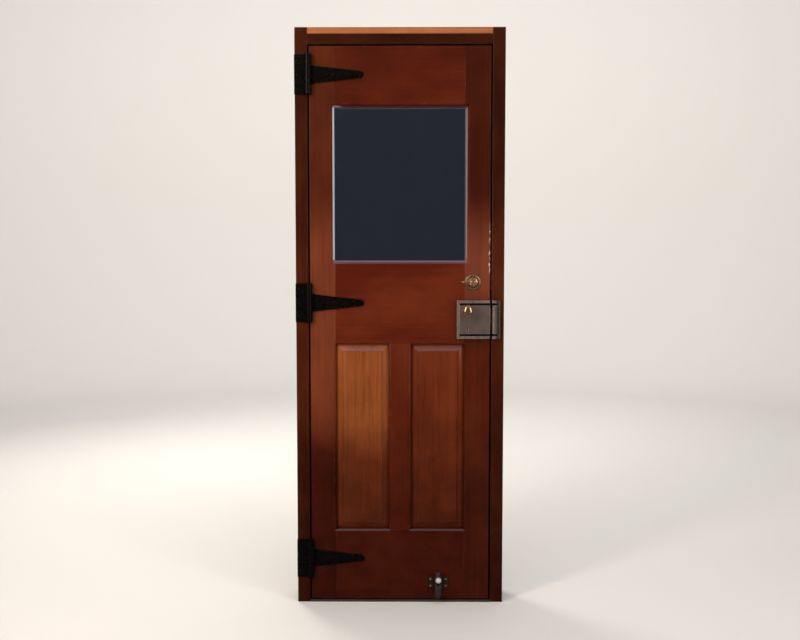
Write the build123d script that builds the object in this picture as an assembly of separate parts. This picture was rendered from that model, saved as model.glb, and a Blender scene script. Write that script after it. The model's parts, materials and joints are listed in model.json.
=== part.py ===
from build123d import *
from math import acos, atan2, cos, hypot, radians, sin, tan
import os

# An end door of a wooden rail car, in its frame.
# Millimetres. Seen from inside the car, +X is to the right, +Y outwards and +Z up.
# The origin is the centre of the sill plate's underside.

# Leaf
LEAF_W = 640.0
LEAF_H = 1975.0
LEAF_T = 44.0
STILE_W = 90.0
LEAF_EASE = 2.0
MUNTIN_W = 79.0
BOTTOM_RAIL_H = 254.0
PANEL_H = 672.5
LOCK_RAIL_H = 292.5
TOP_RAIL_H = 205.0
WINDOW_WIDER = 9.0
DOOR_GAP = 5.5
EDGE_BEVEL_DEG = 3.5

# Moulded edge that the stiles and rails carry round each opening
MOULD_STEP = 1.0
MOULD_W = 4.0

# Panels
TONGUE_T = 10.0
TONGUE_D = 12.0
TONGUE_PLAY = 0.3
FIELD_BELOW = 3.0
FIELD_STEP = 1.5
FIELD_MARGIN = 26.0
PANEL_FLAT = 3.0

# Window
GLASS_T = 4.0
GLASS_DEPTH = 11.0
RABBET_W = 10.0
GLASS_PLAY = 1.0
BEAD_SIGHT = 7.0

# Frame
JAMB_T = 32.0
JAMB_D = 90.0
CASING_W = 45.0
CASING_T = 20.0
CASING_EASE = 2.5
HEAD_CASING_H = 38.0
LEG_RISE = 22.0
FILLER_T = 18.0
STOP_W = 16.0
STOP_D = 30.0
SILL_T = 8.0
SILL_NOSE = 15.0
FIXING_R = 4.0
JAMB_FIXING_SPAN = 1200.0
JAMB_FIXING_MID_Z = 1000.0
JAMB_FIXING_EDGE = 15.0
SILL_FIXING_SPAN = 400.0

# T-hinges: an upright plate on the casing and a tapered strap on the leaf
HINGE_T = 5.0
BARREL_R = 12.0
BARREL_STAND = 0.5
PIN_R = 5.0
PIN_FIT = 0.08
PIN_HEAD_R = 8.0
PIN_HEAD_H = 3.0
PLATE_W = 46.0
PLATE_H = 138.0
STRAP_L = 195.0
STRAP_ROOT_H = 64.0
STRAP_TIP_R = 11.5
MIDDLE_KNUCKLE_H = 24.0
KNUCKLE_GAP = 0.5
CUT_BACK = 1.0
HINGE_EASE = 1.0
TOP_HINGE_BELOW = 99.0
MIDDLE_HINGE_H = 1074.5
BOTTOM_HINGE_H = 149.5

# Rim lock on the leaf, keeper on the casing
LOCK_W = 117.0
LOCK_H = 136.0
LOCK_T = 20.0
LOCK_MID_H = 1015.5
LOCK_BORDER = 9.0
LOCK_GROOVE = 9.0
LOCK_GROOVE_D = 5.0
LOCK_FACE_RISE = 2.0
LOCK_EDGE_SET = 1.0
LOCK_EASE = 1.5
KEEPER_W = 28.0
KEEPER_GAP = 7.0
KEEPER_WALL = 5.0
BOLT_D = 30.0
BOLT_PLAY = 0.3
KEYHOLE_R = 4.5
KEYHOLE_SLOT_W = 5.0
KEYHOLE_DROP = 11.0
KEYHOLE_D = 6.0
KNOB_INSET = 81.0
KNOB_ABOVE_MID = 30.0
KEYHOLE_BELOW_MID = 30.0
NOSE_ROUND = 6.0

# Knobs, turned about the axis that leaves the door's face
KNOB_NECK_R = 8.0
KNOB_ROSE_T = 4.0
KNOB_NECK_L = 16.0
KNOB_FLARE = 0.7
KNOB_FLATNESS = 0.68
KNOB_RIM = 0.7
OUTER_KNOB_R = 25.0
OUTER_KNOB_ROSE_R = 18.0
OVAL_W = 34.0
OVAL_H = 48.0
OVAL_T = 20.0
OVAL_EASE = 8.5
OVAL_ROSE_R = 14.0
OUTER_PLATE_W = 50.0
OUTER_PLATE_END = 54.0
OUTER_PLATE_T = 3.0

# Deadbolt above the lock
DEADBOLT_INSET = 61.0
DEADBOLT_CLEAR = 37.0
ROSETTE_R = 28.0
ROSETTE_T = 5.0
ROSETTE_EASE = 2.0
TURN_BOSS_R = 13.0
TURN_BOSS_T = 9.0
TURN_REACH = 42.0
TURN_TIP_R = 3.0
TURN_T = 6.0
TURN_EASE = 2.0
CYLINDER_R = 16.0
CYLINDER_T = 9.0
FACEPLATE_W = 24.0
FACEPLATE_H = 58.0
FACEPLATE_T = 4.0
BOLT_NOSE_T = 12.0
BOLT_NOSE_H = 24.0
BOLT_NOSE_D = 20.0
STRIKE_T = 2.5
STRIKE_PLAY = 1.0

# Foot bolt near the bottom of the leaf
FOOT_INSET = 182.0
FOOT_H = 60.0
FOOT_PLATE_W = 75.0
FOOT_PLATE_H = 46.0
FOOT_PLATE_T = 3.0
FOOT_PLATE_EASE = 8.0
FOOT_BARREL_R = 13.0
FOOT_BARREL_H = 76.0
FOOT_BARREL_DROP = 8.0
FOOT_BARREL_EASE = 3.0
FOOT_SADDLE_W = 18.0
FOOT_SADDLE_H = 40.0
FOOT_STAND = 15.0
FOOT_ROD_R = 6.0
FOOT_ROD_FIT = 0.08
FOOT_ROD_BELOW = 8.0
FOOT_GRIP_R = 9.0
FOOT_GRIP_H = 12.0
FOOT_KNOB_R = 10.5
FOOT_KNOB_RISE = 20.0
FOOT_STEM_R = 4.0
FOOT_STEM_SHOW = 1.0
FOOT_STEM_PLAY = 0.5
FOOT_TRAVEL = 20.0

# Planes that the sizes above fix
Y_IN = -(JAMB_D / 2 + CASING_T)
Y_JAMB_IN = -JAMB_D / 2
Y_JAMB_OUT = JAMB_D / 2
Y_OUT = JAMB_D / 2 + CASING_T
Y_LEAF_OUT = Y_IN + LEAF_T
Y_LEAF_MID = Y_IN + LEAF_T / 2
Y_STOP = Y_LEAF_OUT + DOOR_GAP
X_LEAF = LEAF_W / 2
X_OPEN = X_LEAF + DOOR_GAP
X_JAMB = X_OPEN + JAMB_T
X_FRAME = X_OPEN + CASING_W
X_STILE = X_LEAF - STILE_W
X_WINDOW = X_STILE + WINDOW_WIDER
X_KNOB = X_LEAF - KNOB_INSET
X_DEADBOLT = X_LEAF - DEADBOLT_INSET
X_FOOT = X_LEAF - FOOT_INSET
Z_LEAF = SILL_T + DOOR_GAP
Z_LEAF_TOP = Z_LEAF + LEAF_H
Z_HEAD = Z_LEAF_TOP + DOOR_GAP
Z_HEAD_CASING = Z_HEAD + HEAD_CASING_H
Z_LEG_TOP = Z_HEAD_CASING + LEG_RISE
Z_PANEL = Z_LEAF + BOTTOM_RAIL_H
Z_PANEL_TOP = Z_PANEL + PANEL_H
Z_WINDOW = Z_PANEL_TOP + LOCK_RAIL_H
Z_WINDOW_TOP = Z_LEAF_TOP - TOP_RAIL_H
Z_LOCK = Z_LEAF + LOCK_MID_H
Z_KNOB = Z_LOCK + KNOB_ABOVE_MID
Z_KEYHOLE = Z_LOCK - KEYHOLE_BELOW_MID
Z_DEADBOLT = Z_LOCK + LOCK_H / 2 + DEADBOLT_CLEAR + ROSETTE_R
X_PIN = -(X_LEAF + DOOR_GAP / 2)
Y_PIN = Y_IN - BARREL_STAND - BARREL_R
HINGE_Z = {
    "top": Z_LEAF_TOP - TOP_HINGE_BELOW,
    "middle": Z_LEAF + MIDDLE_HINGE_H,
    "bottom": Z_LEAF + BOTTOM_HINGE_H,
}


def block(x, y, z):
    """A box between two planes on each axis."""
    middle = Pos((x[0] + x[1]) / 2, (y[0] + y[1]) / 2, (z[0] + z[1]) / 2)
    return middle * Box(x[1] - x[0], y[1] - y[0], z[1] - z[0])


def across(x, z, radius, y):
    """A round bar along Y between two planes."""
    return Pos(x, (y[0] + y[1]) / 2, z) * Rot(90, 0, 0) * Cylinder(radius, y[1] - y[0])


def upright(x, y, radius, z):
    """A round bar along Z between two planes."""
    return Pos(x, y, (z[0] + z[1]) / 2) * Cylinder(radius, z[1] - z[0])


def facing(outline, y, depth):
    """An outline drawn as seen from inside, as a plate from plane y outwards by depth."""
    return Pos(0, y, 0) * Rot(90, 0, 0) * extrude(outline, -depth)


def save(name, solid):
    """One piece, in its own file."""
    solid.label = name
    export_step(solid, f"parts/{name}.step")


def eased(solid, near, size):
    """A solid with the long edges of its inner face rounded."""
    edges = [edge for edge in solid.edges() if abs(edge.center().Y - near) < size / 10]
    return fillet(edges, size)


# The frame: jambs, head and stops. Columns: name, X, Y and Z spans.
SIDE_STOP_Z = (SILL_T, Z_HEAD - STOP_W)
STOP_Y = (Y_STOP, Y_STOP + STOP_D)
JAMB_Y = (Y_JAMB_IN, Y_JAMB_OUT)
JAMB_Z = (SILL_T, Z_HEAD + JAMB_T)
FRAME_BLOCKS = [
    ("head_jamb", (-X_OPEN, X_OPEN), JAMB_Y, (Z_HEAD, Z_HEAD + JAMB_T)),
    ("stop_hinge_side", (-X_OPEN, -X_OPEN + STOP_W), STOP_Y, SIDE_STOP_Z),
    ("stop_lock_side", (X_OPEN - STOP_W, X_OPEN), STOP_Y, SIDE_STOP_Z),
    ("stop_head", (-X_OPEN, X_OPEN), STOP_Y, (Z_HEAD - STOP_W, Z_HEAD)),
]

# Casings. The inner legs stand on the floor and rise past the head.
CASING_IN_Y = (Y_IN, Y_JAMB_IN)
CASING_OUT_Y = (Y_JAMB_OUT, Y_OUT)
CASINGS = [
    ("casing_inner_hinge_side", (-X_FRAME, -X_OPEN), CASING_IN_Y, (0, Z_LEG_TOP)),
    ("casing_inner_lock_side", (X_OPEN, X_FRAME), CASING_IN_Y, (0, Z_LEG_TOP)),
    ("casing_inner_head", (-X_OPEN, X_OPEN), CASING_IN_Y, (Z_HEAD, Z_HEAD_CASING)),
    ("casing_outer_hinge_side", (-X_FRAME, -X_OPEN), CASING_OUT_Y, (SILL_T, Z_HEAD)),
    ("casing_outer_lock_side", (X_OPEN, X_FRAME), CASING_OUT_Y, (SILL_T, Z_HEAD)),
    ("casing_outer_head", (-X_FRAME, X_FRAME), CASING_OUT_Y, (Z_HEAD, Z_HEAD_CASING)),
]

# The edge plate of the deadbolt and its strike share one height and one middle line.
PLATE_Y = (Y_LEAF_MID - FACEPLATE_W / 2, Y_LEAF_MID + FACEPLATE_W / 2)
PLATE_Z = (Z_DEADBOLT - FACEPLATE_H / 2, Z_DEADBOLT + FACEPLATE_H / 2)
NOSE_Y = (Y_LEAF_MID - BOLT_NOSE_T / 2, Y_LEAF_MID + BOLT_NOSE_T / 2)
NOSE_Z = (Z_DEADBOLT - BOLT_NOSE_H / 2, Z_DEADBOLT + BOLT_NOSE_H / 2)


def widened(span, play):
    """A span with the same play added at both ends."""
    return (span[0] - play, span[1] + play)


def jamb(side):
    """A side jamb with its two screw holes; side is -1 at the hinges and 1 at the lock."""
    x = sorted((side * X_OPEN, side * X_JAMB))
    solid = block(x, JAMB_Y, JAMB_Z)
    for end in (-1, 1):
        z = JAMB_FIXING_MID_Z + end * JAMB_FIXING_SPAN / 2
        hole = Pos(side * (X_OPEN + JAMB_T / 2), Y_JAMB_OUT - JAMB_FIXING_EDGE, z)
        solid -= hole * Rot(0, 90, 0) * Cylinder(FIXING_R, JAMB_T * 2)
    return solid


def strike_pocket(depth):
    """The pocket that the deadbolt enters, cut into the frame from the face of the lock jamb."""
    return block((X_OPEN, X_OPEN + depth), widened(NOSE_Y, STRIKE_PLAY), widened(NOSE_Z, STRIKE_PLAY))


def sill():
    """A flat plate, narrow between the inner casings and wide under the outer ones."""
    z = (0, SILL_T)
    plate = block((-X_OPEN, X_OPEN), (Y_IN, Y_JAMB_IN), z)
    plate += block((-X_JAMB, X_JAMB), JAMB_Y, z)
    nose = block((-X_FRAME, X_FRAME), (Y_JAMB_OUT, Y_OUT + SILL_NOSE), z)
    plate += fillet(nose.edges().filter_by(Axis.X).group_by(Axis.Y)[-1].sort_by(Axis.Z)[-1], SILL_T / 2)
    for side in (-1, 1):
        x = side * SILL_FIXING_SPAN / 2
        plate -= upright(x, Y_JAMB_OUT - JAMB_FIXING_EDGE, FIXING_R, (-SILL_T, 2 * SILL_T))
    return plate


os.makedirs("parts", exist_ok=True)
save("sill_plate", sill())
save("jamb_hinge_side", jamb(-1))
strike = block((X_OPEN, X_OPEN + STRIKE_T), PLATE_Y, PLATE_Z)
save("jamb_lock_side", jamb(1) - strike - strike_pocket(BOLT_NOSE_D))
save("deadbolt_strike", strike - strike_pocket(BOLT_NOSE_D))
for name, x, y, z in FRAME_BLOCKS:
    save(name, block(x, y, z))
for name, x, y, z in CASINGS:
    face = y[0] if y == CASING_IN_Y else y[1]
    casing = eased(block(x, y, z), face, CASING_EASE)
    if name == "casing_inner_lock_side":
        casing -= strike + strike_pocket(BOLT_NOSE_D)
    save(name, casing)
filler_z = (Z_HEAD_CASING, Z_LEG_TOP)
save("filler_board", block((-X_OPEN, X_OPEN), (Y_JAMB_IN - FILLER_T, Y_JAMB_IN), filler_z))

# The leaf: its openings, each an X span and a Z span.
WINDOW = ((-X_WINDOW, X_WINDOW), (Z_WINDOW, Z_WINDOW_TOP))
PANELS = {
    "panel_hinge_side": ((-X_STILE, -MUNTIN_W / 2), (Z_PANEL, Z_PANEL_TOP)),
    "panel_lock_side": ((MUNTIN_W / 2, X_STILE), (Z_PANEL, Z_PANEL_TOP)),
}
MEMBERS = [
    ("stile_hinge_side", (-X_LEAF, -X_STILE), (Z_LEAF, Z_LEAF_TOP)),
    ("stile_lock_side", (X_STILE, X_LEAF), (Z_LEAF, Z_LEAF_TOP)),
    ("rail_bottom", (-X_STILE, X_STILE), (Z_LEAF, Z_PANEL)),
    ("rail_lock", (-X_STILE, X_STILE), (Z_PANEL_TOP, Z_WINDOW)),
    ("rail_top", (-X_STILE, X_STILE), (Z_WINDOW_TOP, Z_LEAF_TOP)),
    ("muntin", (-MUNTIN_W / 2, MUNTIN_W / 2), (Z_PANEL, Z_PANEL_TOP)),
]
LEAF_Y = (Y_IN, Y_LEAF_OUT)
TONGUE_Y = (Y_LEAF_MID - TONGUE_T / 2, Y_LEAF_MID + TONGUE_T / 2)


def rectangle_at(x, z, y):
    """An upright rectangle in the plane y."""
    plane = Plane(origin=((x[0] + x[1]) / 2, y, (z[0] + z[1]) / 2), x_dir=(1, 0, 0), z_dir=(0, -1, 0))
    return plane * Rectangle(x[1] - x[0], z[1] - z[0])


def pyramid(x, z, y, inset, y_inset):
    """A rectangle in plane y, drawn in by inset at plane y_inset."""
    return loft([rectangle_at(x, z, y), rectangle_at(widened(x, -inset), widened(z, -inset), y_inset)])


def moulding(opening, face, inwards):
    """What the moulded edge takes from round an opening: a small step, then a bevel."""
    x, z = opening
    wide = MOULD_W + MOULD_STEP
    shelf = face + inwards * MOULD_STEP
    bevel = pyramid(widened(x, MOULD_W), widened(z, MOULD_W), shelf, MOULD_W, face + inwards * wide)
    return block(widened(x, wide), sorted((face, shelf)), widened(z, wide)) + bevel


def leaf_cutter():
    """Everything that is cut from the stiles and rails."""
    x, z = WINDOW
    cutter = block(x, LEAF_Y, z)
    cutter += block(widened(x, RABBET_W), (Y_IN + GLASS_DEPTH, Y_LEAF_OUT), widened(z, RABBET_W))
    cutter += moulding(WINDOW, Y_IN, 1)
    for opening in PANELS.values():
        deep = TONGUE_D + TONGUE_PLAY
        cutter += block(widened(opening[0], deep), TONGUE_Y, widened(opening[1], deep))
        cutter += moulding(opening, Y_IN, 1)
        cutter += moulding(opening, Y_LEAF_OUT, -1)
    return cutter


def bevel_cutter():
    """The wedge that comes off the leaf's lock edge, so that it clears the jamb as it swings."""
    drop = LEAF_T * tan(radians(EDGE_BEVEL_DEG))
    wedge = Polygon((X_LEAF, Y_IN), (X_LEAF + drop, Y_LEAF_OUT), (X_LEAF - drop, Y_LEAF_OUT), align=None)
    return Pos(0, 0, Z_LEAF) * extrude(wedge, LEAF_H)


def panel(opening):
    """A panel raised on both faces, with a tongue all round."""
    x, z = opening
    solid = block(widened(x, TONGUE_D), TONGUE_Y, widened(z, TONGUE_D))
    for face, inwards in ((Y_IN, 1), (Y_LEAF_OUT, -1)):
        field = face + inwards * FIELD_BELOW
        shoulder = field + inwards * FIELD_STEP
        foot_x, foot_z = widened(x, -PANEL_FLAT), widened(z, -PANEL_FLAT)
        tongue_face = Y_LEAF_MID - inwards * TONGUE_T / 2
        solid += pyramid(foot_x, foot_z, tongue_face, FIELD_MARGIN - PANEL_FLAT, shoulder)
        field_x, field_z = widened(x, -FIELD_MARGIN), widened(z, -FIELD_MARGIN)
        solid += block(field_x, sorted((field, Y_LEAF_MID)), field_z)
    return solid


def eased_edge(stile, x, size):
    """A stile with the two upright edges of its outer side rounded."""
    upright_edges = stile.edges().filter_by(Axis.Z)
    return fillet([edge for edge in upright_edges if abs(abs(edge.center().X) - x) < size / 10], size)


cutter = leaf_cutter()
edge_wedge = bevel_cutter()
faceplate = block((X_LEAF - FACEPLATE_T, X_LEAF), PLATE_Y, PLATE_Z)
nose = block((X_LEAF - BOLT_NOSE_D, X_LEAF), NOSE_Y, NOSE_Z)
nose_pocket = block((X_LEAF - BOLT_NOSE_D, X_LEAF), widened(NOSE_Y, BOLT_PLAY), widened(NOSE_Z, BOLT_PLAY))
for name, x, z in MEMBERS:
    member = block(x, LEAF_Y, z)
    if name.startswith("stile"):
        member = eased_edge(member, X_LEAF, LEAF_EASE)
    member -= cutter
    if name == "stile_lock_side":
        member -= edge_wedge + faceplate + nose_pocket
    save(name, member)
save("deadbolt_faceplate", faceplate - nose_pocket - edge_wedge)
save("deadbolt_nose", nose - edge_wedge)
for name, opening in PANELS.items():
    save(name, panel(opening))

# Glass, and the beads that hold it from outside. Columns: name, X and Z spans.
GLASS_Y = (Y_IN + GLASS_DEPTH, Y_IN + GLASS_DEPTH + GLASS_T)
BEAD_Y = (GLASS_Y[1], Y_LEAF_OUT)
RABBET_X, RABBET_Z = widened(WINDOW[0], RABBET_W), widened(WINDOW[1], RABBET_W)
SIGHT_X, SIGHT_Z = widened(WINDOW[0], -BEAD_SIGHT), widened(WINDOW[1], -BEAD_SIGHT)
BEADS = [
    ("bead_top", RABBET_X, (SIGHT_Z[1], RABBET_Z[1])),
    ("bead_bottom", RABBET_X, (RABBET_Z[0], SIGHT_Z[0])),
    ("bead_hinge_side", (RABBET_X[0], SIGHT_X[0]), SIGHT_Z),
    ("bead_lock_side", (SIGHT_X[1], RABBET_X[1]), SIGHT_Z),
]
save("window_glass", block(widened(RABBET_X, -GLASS_PLAY), GLASS_Y, widened(RABBET_Z, -GLASS_PLAY)))
for name, x, z in BEADS:
    save(name, block(x, BEAD_Y, z))


def knuckle(z):
    """One knuckle of a hinge, bored for the pin."""
    return upright(X_PIN, Y_PIN, BARREL_R, z) - upright(X_PIN, Y_PIN, PIN_R + PIN_FIT, z)


def hinge_plate(z):
    """The upright plate on the casing, with its outer and middle knuckles."""
    half = PLATE_H / 2
    edge = X_PIN - DOOR_GAP / 2
    y = (Y_IN - HINGE_T, Y_IN)
    plate = eased(block((edge - PLATE_W, edge), y, (z - half, z + half)), y[0], HINGE_EASE)
    strap_z = STRAP_ROOT_H / 2 + KNUCKLE_GAP
    middle = MIDDLE_KNUCKLE_H / 2
    for low, high in ((middle, strap_z), (-strap_z, -middle)):
        plate -= block((X_PIN - BARREL_R - CUT_BACK, X_PIN), y, (z + low, z + high))
    for low, high in ((strap_z, half), (-middle, middle), (-half, -strap_z)):
        plate += knuckle((z + low, z + high))
    return plate


def strap_outline(z):
    """The strap as seen from inside: straight sides that run into a round tip."""
    root = (X_PIN + DOOR_GAP / 2, STRAP_ROOT_H / 2)
    tip_x = X_PIN + STRAP_L - STRAP_TIP_R
    away = hypot(root[0] - tip_x, root[1])
    turn = atan2(root[1], root[0] - tip_x) - acos(STRAP_TIP_R / away)
    touch = (tip_x + STRAP_TIP_R * cos(turn), STRAP_TIP_R * sin(turn))
    sides = Line((root[0], -root[1]), root) + Line(root, touch)
    sides += ThreePointArc(touch, (tip_x + STRAP_TIP_R, 0), (touch[0], -touch[1]))
    sides += Line((touch[0], -touch[1]), (root[0], -root[1]))
    return Pos(0, z, 0) * make_face(sides)


def hinge_strap(z):
    """The tapered strap on the leaf, with the two knuckles between those of the plate."""
    y = Y_IN - HINGE_T
    strap = eased(facing(strap_outline(z), y, HINGE_T), y, HINGE_EASE)
    middle = MIDDLE_KNUCKLE_H / 2 + KNUCKLE_GAP
    notch_x = (X_PIN, X_PIN + BARREL_R + CUT_BACK)
    strap -= block(notch_x, (y, Y_IN), (z - middle, z + middle))
    for low, high in ((middle, STRAP_ROOT_H / 2), (-STRAP_ROOT_H / 2, -middle)):
        strap += knuckle((z + low, z + high))
    return strap


def hinge_pin(z):
    """The pin, with a button head at each end."""
    half = PLATE_H / 2
    pin = upright(X_PIN, Y_PIN, PIN_R, (z - half, z + half))
    for side in (-1, 1):
        ends = sorted((z + side * half, z + side * (half + PIN_HEAD_H)))
        head = upright(X_PIN, Y_PIN, PIN_HEAD_R, ends)
        rim = head.edges().sort_by(Axis.Z)[-1 if side > 0 else 0]
        pin += fillet(rim, PIN_HEAD_H / 2)
    return pin


for name, centre in HINGE_Z.items():
    save(f"hinge_plate_{name}", hinge_plate(centre))
    save(f"hinge_strap_{name}", hinge_strap(centre))
    save(f"hinge_pin_{name}", hinge_pin(centre))


def keyhole(x, z, y):
    """A keyhole: a round hole over a slot, between two planes."""
    slot = block((x - KEYHOLE_SLOT_W / 2, x + KEYHOLE_SLOT_W / 2), y, (z - KEYHOLE_DROP, z))
    return across(x, z, KEYHOLE_R, y) + slot


# Rim lock, with its bolts drawn back into the case.
# Columns: name, rise of the bolt's middle above the lock's, height and thickness of the bolt.
BOLTS = [("latch_bolt", 30.0, 26.0, 11.0), ("lock_bolt", -26.0, 30.0, 11.0)]
LOCK_X = (X_LEAF - LOCK_EDGE_SET - LOCK_W, X_LEAF - LOCK_EDGE_SET)
LOCK_Y = (Y_IN - LOCK_T, Y_IN)
LOCK_Z = (Z_LOCK - LOCK_H / 2, Z_LOCK + LOCK_H / 2)
FACE_Y = (LOCK_Y[0] - LOCK_FACE_RISE, Y_IN)
FACE_Z = (LOCK_Z[0] + LOCK_BORDER + LOCK_GROOVE, LOCK_Z[1] - LOCK_BORDER - LOCK_GROOVE)
KEEPER_X = (X_LEAF + KEEPER_GAP, X_LEAF + KEEPER_GAP + KEEPER_W)


def bolt_span(rise, height, thickness):
    """The Y and Z spans of a bolt in the lock."""
    y = (Y_IN - (LOCK_T + thickness) / 2, Y_IN - (LOCK_T - thickness) / 2)
    return y, (Z_LOCK + rise - height / 2, Z_LOCK + rise + height / 2)


def grooved(x, inner_x):
    """A box as tall as the lock, with two grooves inside its border."""
    case = eased(block(x, LOCK_Y, LOCK_Z), LOCK_Y[0], LOCK_EASE)
    for z in ((LOCK_Z[0] + LOCK_BORDER, FACE_Z[0]), (FACE_Z[1], LOCK_Z[1] - LOCK_BORDER)):
        case -= block(inner_x, (LOCK_Y[0], LOCK_Y[0] + LOCK_GROOVE_D), z)
    return case


def lock_case():
    """The lock's case, with its raised face, bolt pockets, open at the leaf's edge, and keyhole."""
    inner_x = (LOCK_X[0] + LOCK_BORDER, LOCK_X[1])
    case = grooved(LOCK_X, inner_x) + block(inner_x, FACE_Y, FACE_Z)
    for _, rise, height, thickness in BOLTS:
        y, z = bolt_span(rise, height, thickness)
        case -= block((LOCK_X[1] - BOLT_D, LOCK_X[1]), widened(y, BOLT_PLAY), widened(z, BOLT_PLAY))
    return case - keyhole(X_KNOB, Z_KEYHOLE, (FACE_Y[0], FACE_Y[0] + KEYHOLE_D))


def keeper():
    """The keeper on the casing, hollow towards the lock, with a raised face that is round at its nose."""
    inner_x = (KEEPER_X[0], KEEPER_X[1] - LOCK_BORDER)
    face = block(inner_x, FACE_Y, FACE_Z)
    nose_edge = face.edges().filter_by(Axis.Z).group_by(Axis.X)[0].sort_by(Axis.Y)[0]
    case = grooved(KEEPER_X, inner_x) - block(inner_x, LOCK_Y, FACE_Z) + fillet(nose_edge, NOSE_ROUND)
    return case - block(inner_x, (FACE_Y[0] + KEEPER_WALL, Y_IN - KEEPER_WALL), widened(FACE_Z, -KEEPER_WALL))


save("lock_case", lock_case())
save("lock_keeper", keeper())
for name, rise, height, thickness in BOLTS:
    y, z = bolt_span(rise, height, thickness)
    save(name, block((LOCK_X[1] - BOLT_D, LOCK_X[1]), y, z))


def on_circle(radius, x, top):
    """The height at x on a circle about the Y axis whose highest point is at top."""
    return top - radius + (radius**2 - x**2) ** 0.5


def neck(rose):
    """Half of the section of a knob's foot: a flat rose and a neck that flares from it."""
    flare = (rose - KNOB_NECK_R) * KNOB_FLARE
    foot = (KNOB_NECK_R + flare, KNOB_ROSE_T)
    waist = (KNOB_NECK_R, KNOB_ROSE_T + flare)
    bend = (foot[0] - flare * sin(radians(45)), waist[1] - flare * sin(radians(45)))
    profile = Line((0, 0), (rose, 0)) + Line((rose, 0), (rose, KNOB_ROSE_T))
    return profile + Line((rose, KNOB_ROSE_T), foot) + ThreePointArc(foot, bend, waist), waist


def round_knob(radius, rose):
    """A turned knob along +Y from its seat, with a flattened head of two crowns and a round rim."""
    half = radius * KNOB_FLATNESS
    middle = KNOB_ROSE_T + KNOB_NECK_L + half
    rim = half * KNOB_RIM
    reach = radius - rim
    crown = (reach**2 + half**2 - rim**2) / (2 * (half - rim))
    lean = atan2(crown - half, reach)
    touch = (reach + rim * cos(lean), rim * sin(lean))
    between = (touch[0] + KNOB_NECK_R) / 2
    profile, waist = neck(rose)
    under = (KNOB_NECK_R, middle - on_circle(crown, KNOB_NECK_R, half))
    profile += Line(waist, under)
    profile += ThreePointArc(
        under, (between, middle - on_circle(crown, between, half)), (touch[0], middle - touch[1])
    )
    profile += ThreePointArc((touch[0], middle - touch[1]), (radius, middle), (touch[0], middle + touch[1]))
    profile += ThreePointArc(
        (touch[0], middle + touch[1]), (between, middle + on_circle(crown, between, half)), (0, middle + half)
    )
    return revolve(make_face(profile + Line((0, middle + half), (0, 0))), Axis.Y)


def oval_knob():
    """A knob along +Y from its seat, with an upright oval head, round all over its edges."""
    profile, waist = neck(OVAL_ROSE_R)
    head_y = KNOB_ROSE_T + KNOB_NECK_L
    profile += Line(waist, (KNOB_NECK_R, head_y)) + Line((KNOB_NECK_R, head_y), (0, head_y))
    profile += Line((0, head_y), (0, 0))
    head = Rot(90, 0, 0) * extrude(SlotOverall(OVAL_H, OVAL_W, 90), OVAL_T)
    head = Pos(0, head_y + OVAL_T, 0) * fillet(head.edges().filter_by(Axis.Y, reverse=True), OVAL_EASE)
    return revolve(make_face(profile), Axis.Y) + head


inner_seat = Pos(X_KNOB, FACE_Y[0], Z_KNOB)
save("knob_inner", inner_seat * Rot(0, 0, 180) * oval_knob())
outer_seat = Pos(X_KNOB, Y_LEAF_OUT + OUTER_PLATE_T, Z_KNOB)
save("knob_outer", outer_seat * round_knob(OUTER_KNOB_R, OUTER_KNOB_ROSE_R))


def outer_plate():
    """The long plate behind the outer knob, round at both ends, with the keyhole."""
    height = Z_KNOB - Z_KEYHOLE + 2 * OUTER_PLATE_END
    outline = Pos(X_KNOB, (Z_KNOB + Z_KEYHOLE) / 2) * SlotOverall(height, OUTER_PLATE_W, 90)
    plate = facing(outline, Y_LEAF_OUT, OUTER_PLATE_T)
    return plate - keyhole(X_KNOB, Z_KEYHOLE, (Y_LEAF_OUT, Y_LEAF_OUT + OUTER_PLATE_T))


save("lock_plate_outer", outer_plate())

# Deadbolt: rosette and thumb-turn inside, key cylinder outside.
rosette = across(X_DEADBOLT, Z_DEADBOLT, ROSETTE_R, (Y_IN - ROSETTE_T, Y_IN))
save("deadbolt_rosette", fillet(rosette.edges().sort_by(Axis.Y)[0], ROSETTE_EASE))


def thumb_turn():
    """A round boss with a teardrop grip that points towards the hinges."""
    seat = Y_IN - ROSETTE_T
    tip_x = X_DEADBOLT - TURN_REACH + TURN_TIP_R
    lean = acos((TURN_BOSS_R - TURN_TIP_R) / (X_DEADBOLT - tip_x))
    rise = (cos(lean), sin(lean))
    root = (X_DEADBOLT - TURN_BOSS_R * rise[0], TURN_BOSS_R * rise[1])
    end = (tip_x - TURN_TIP_R * rise[0], TURN_TIP_R * rise[1])
    outline = Line(root, end) + ThreePointArc(end, (tip_x - TURN_TIP_R, 0), (end[0], -end[1]))
    outline += Line((end[0], -end[1]), (root[0], -root[1]))
    outline += ThreePointArc((root[0], -root[1]), (X_DEADBOLT + TURN_BOSS_R, 0), root)
    grip = facing(Pos(0, Z_DEADBOLT, 0) * make_face(outline), seat - TURN_BOSS_T - TURN_T, TURN_T)
    grip = eased(grip, seat - TURN_BOSS_T - TURN_T, TURN_EASE)
    return grip + across(X_DEADBOLT, Z_DEADBOLT, TURN_BOSS_R, (seat - TURN_BOSS_T, seat))


save("deadbolt_turn", thumb_turn())
cylinder = across(X_DEADBOLT, Z_DEADBOLT, CYLINDER_R, (Y_LEAF_OUT, Y_LEAF_OUT + CYLINDER_T))
save("deadbolt_cylinder", fillet(cylinder.edges().sort_by(Axis.Y)[-1], ROSETTE_EASE))

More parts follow.
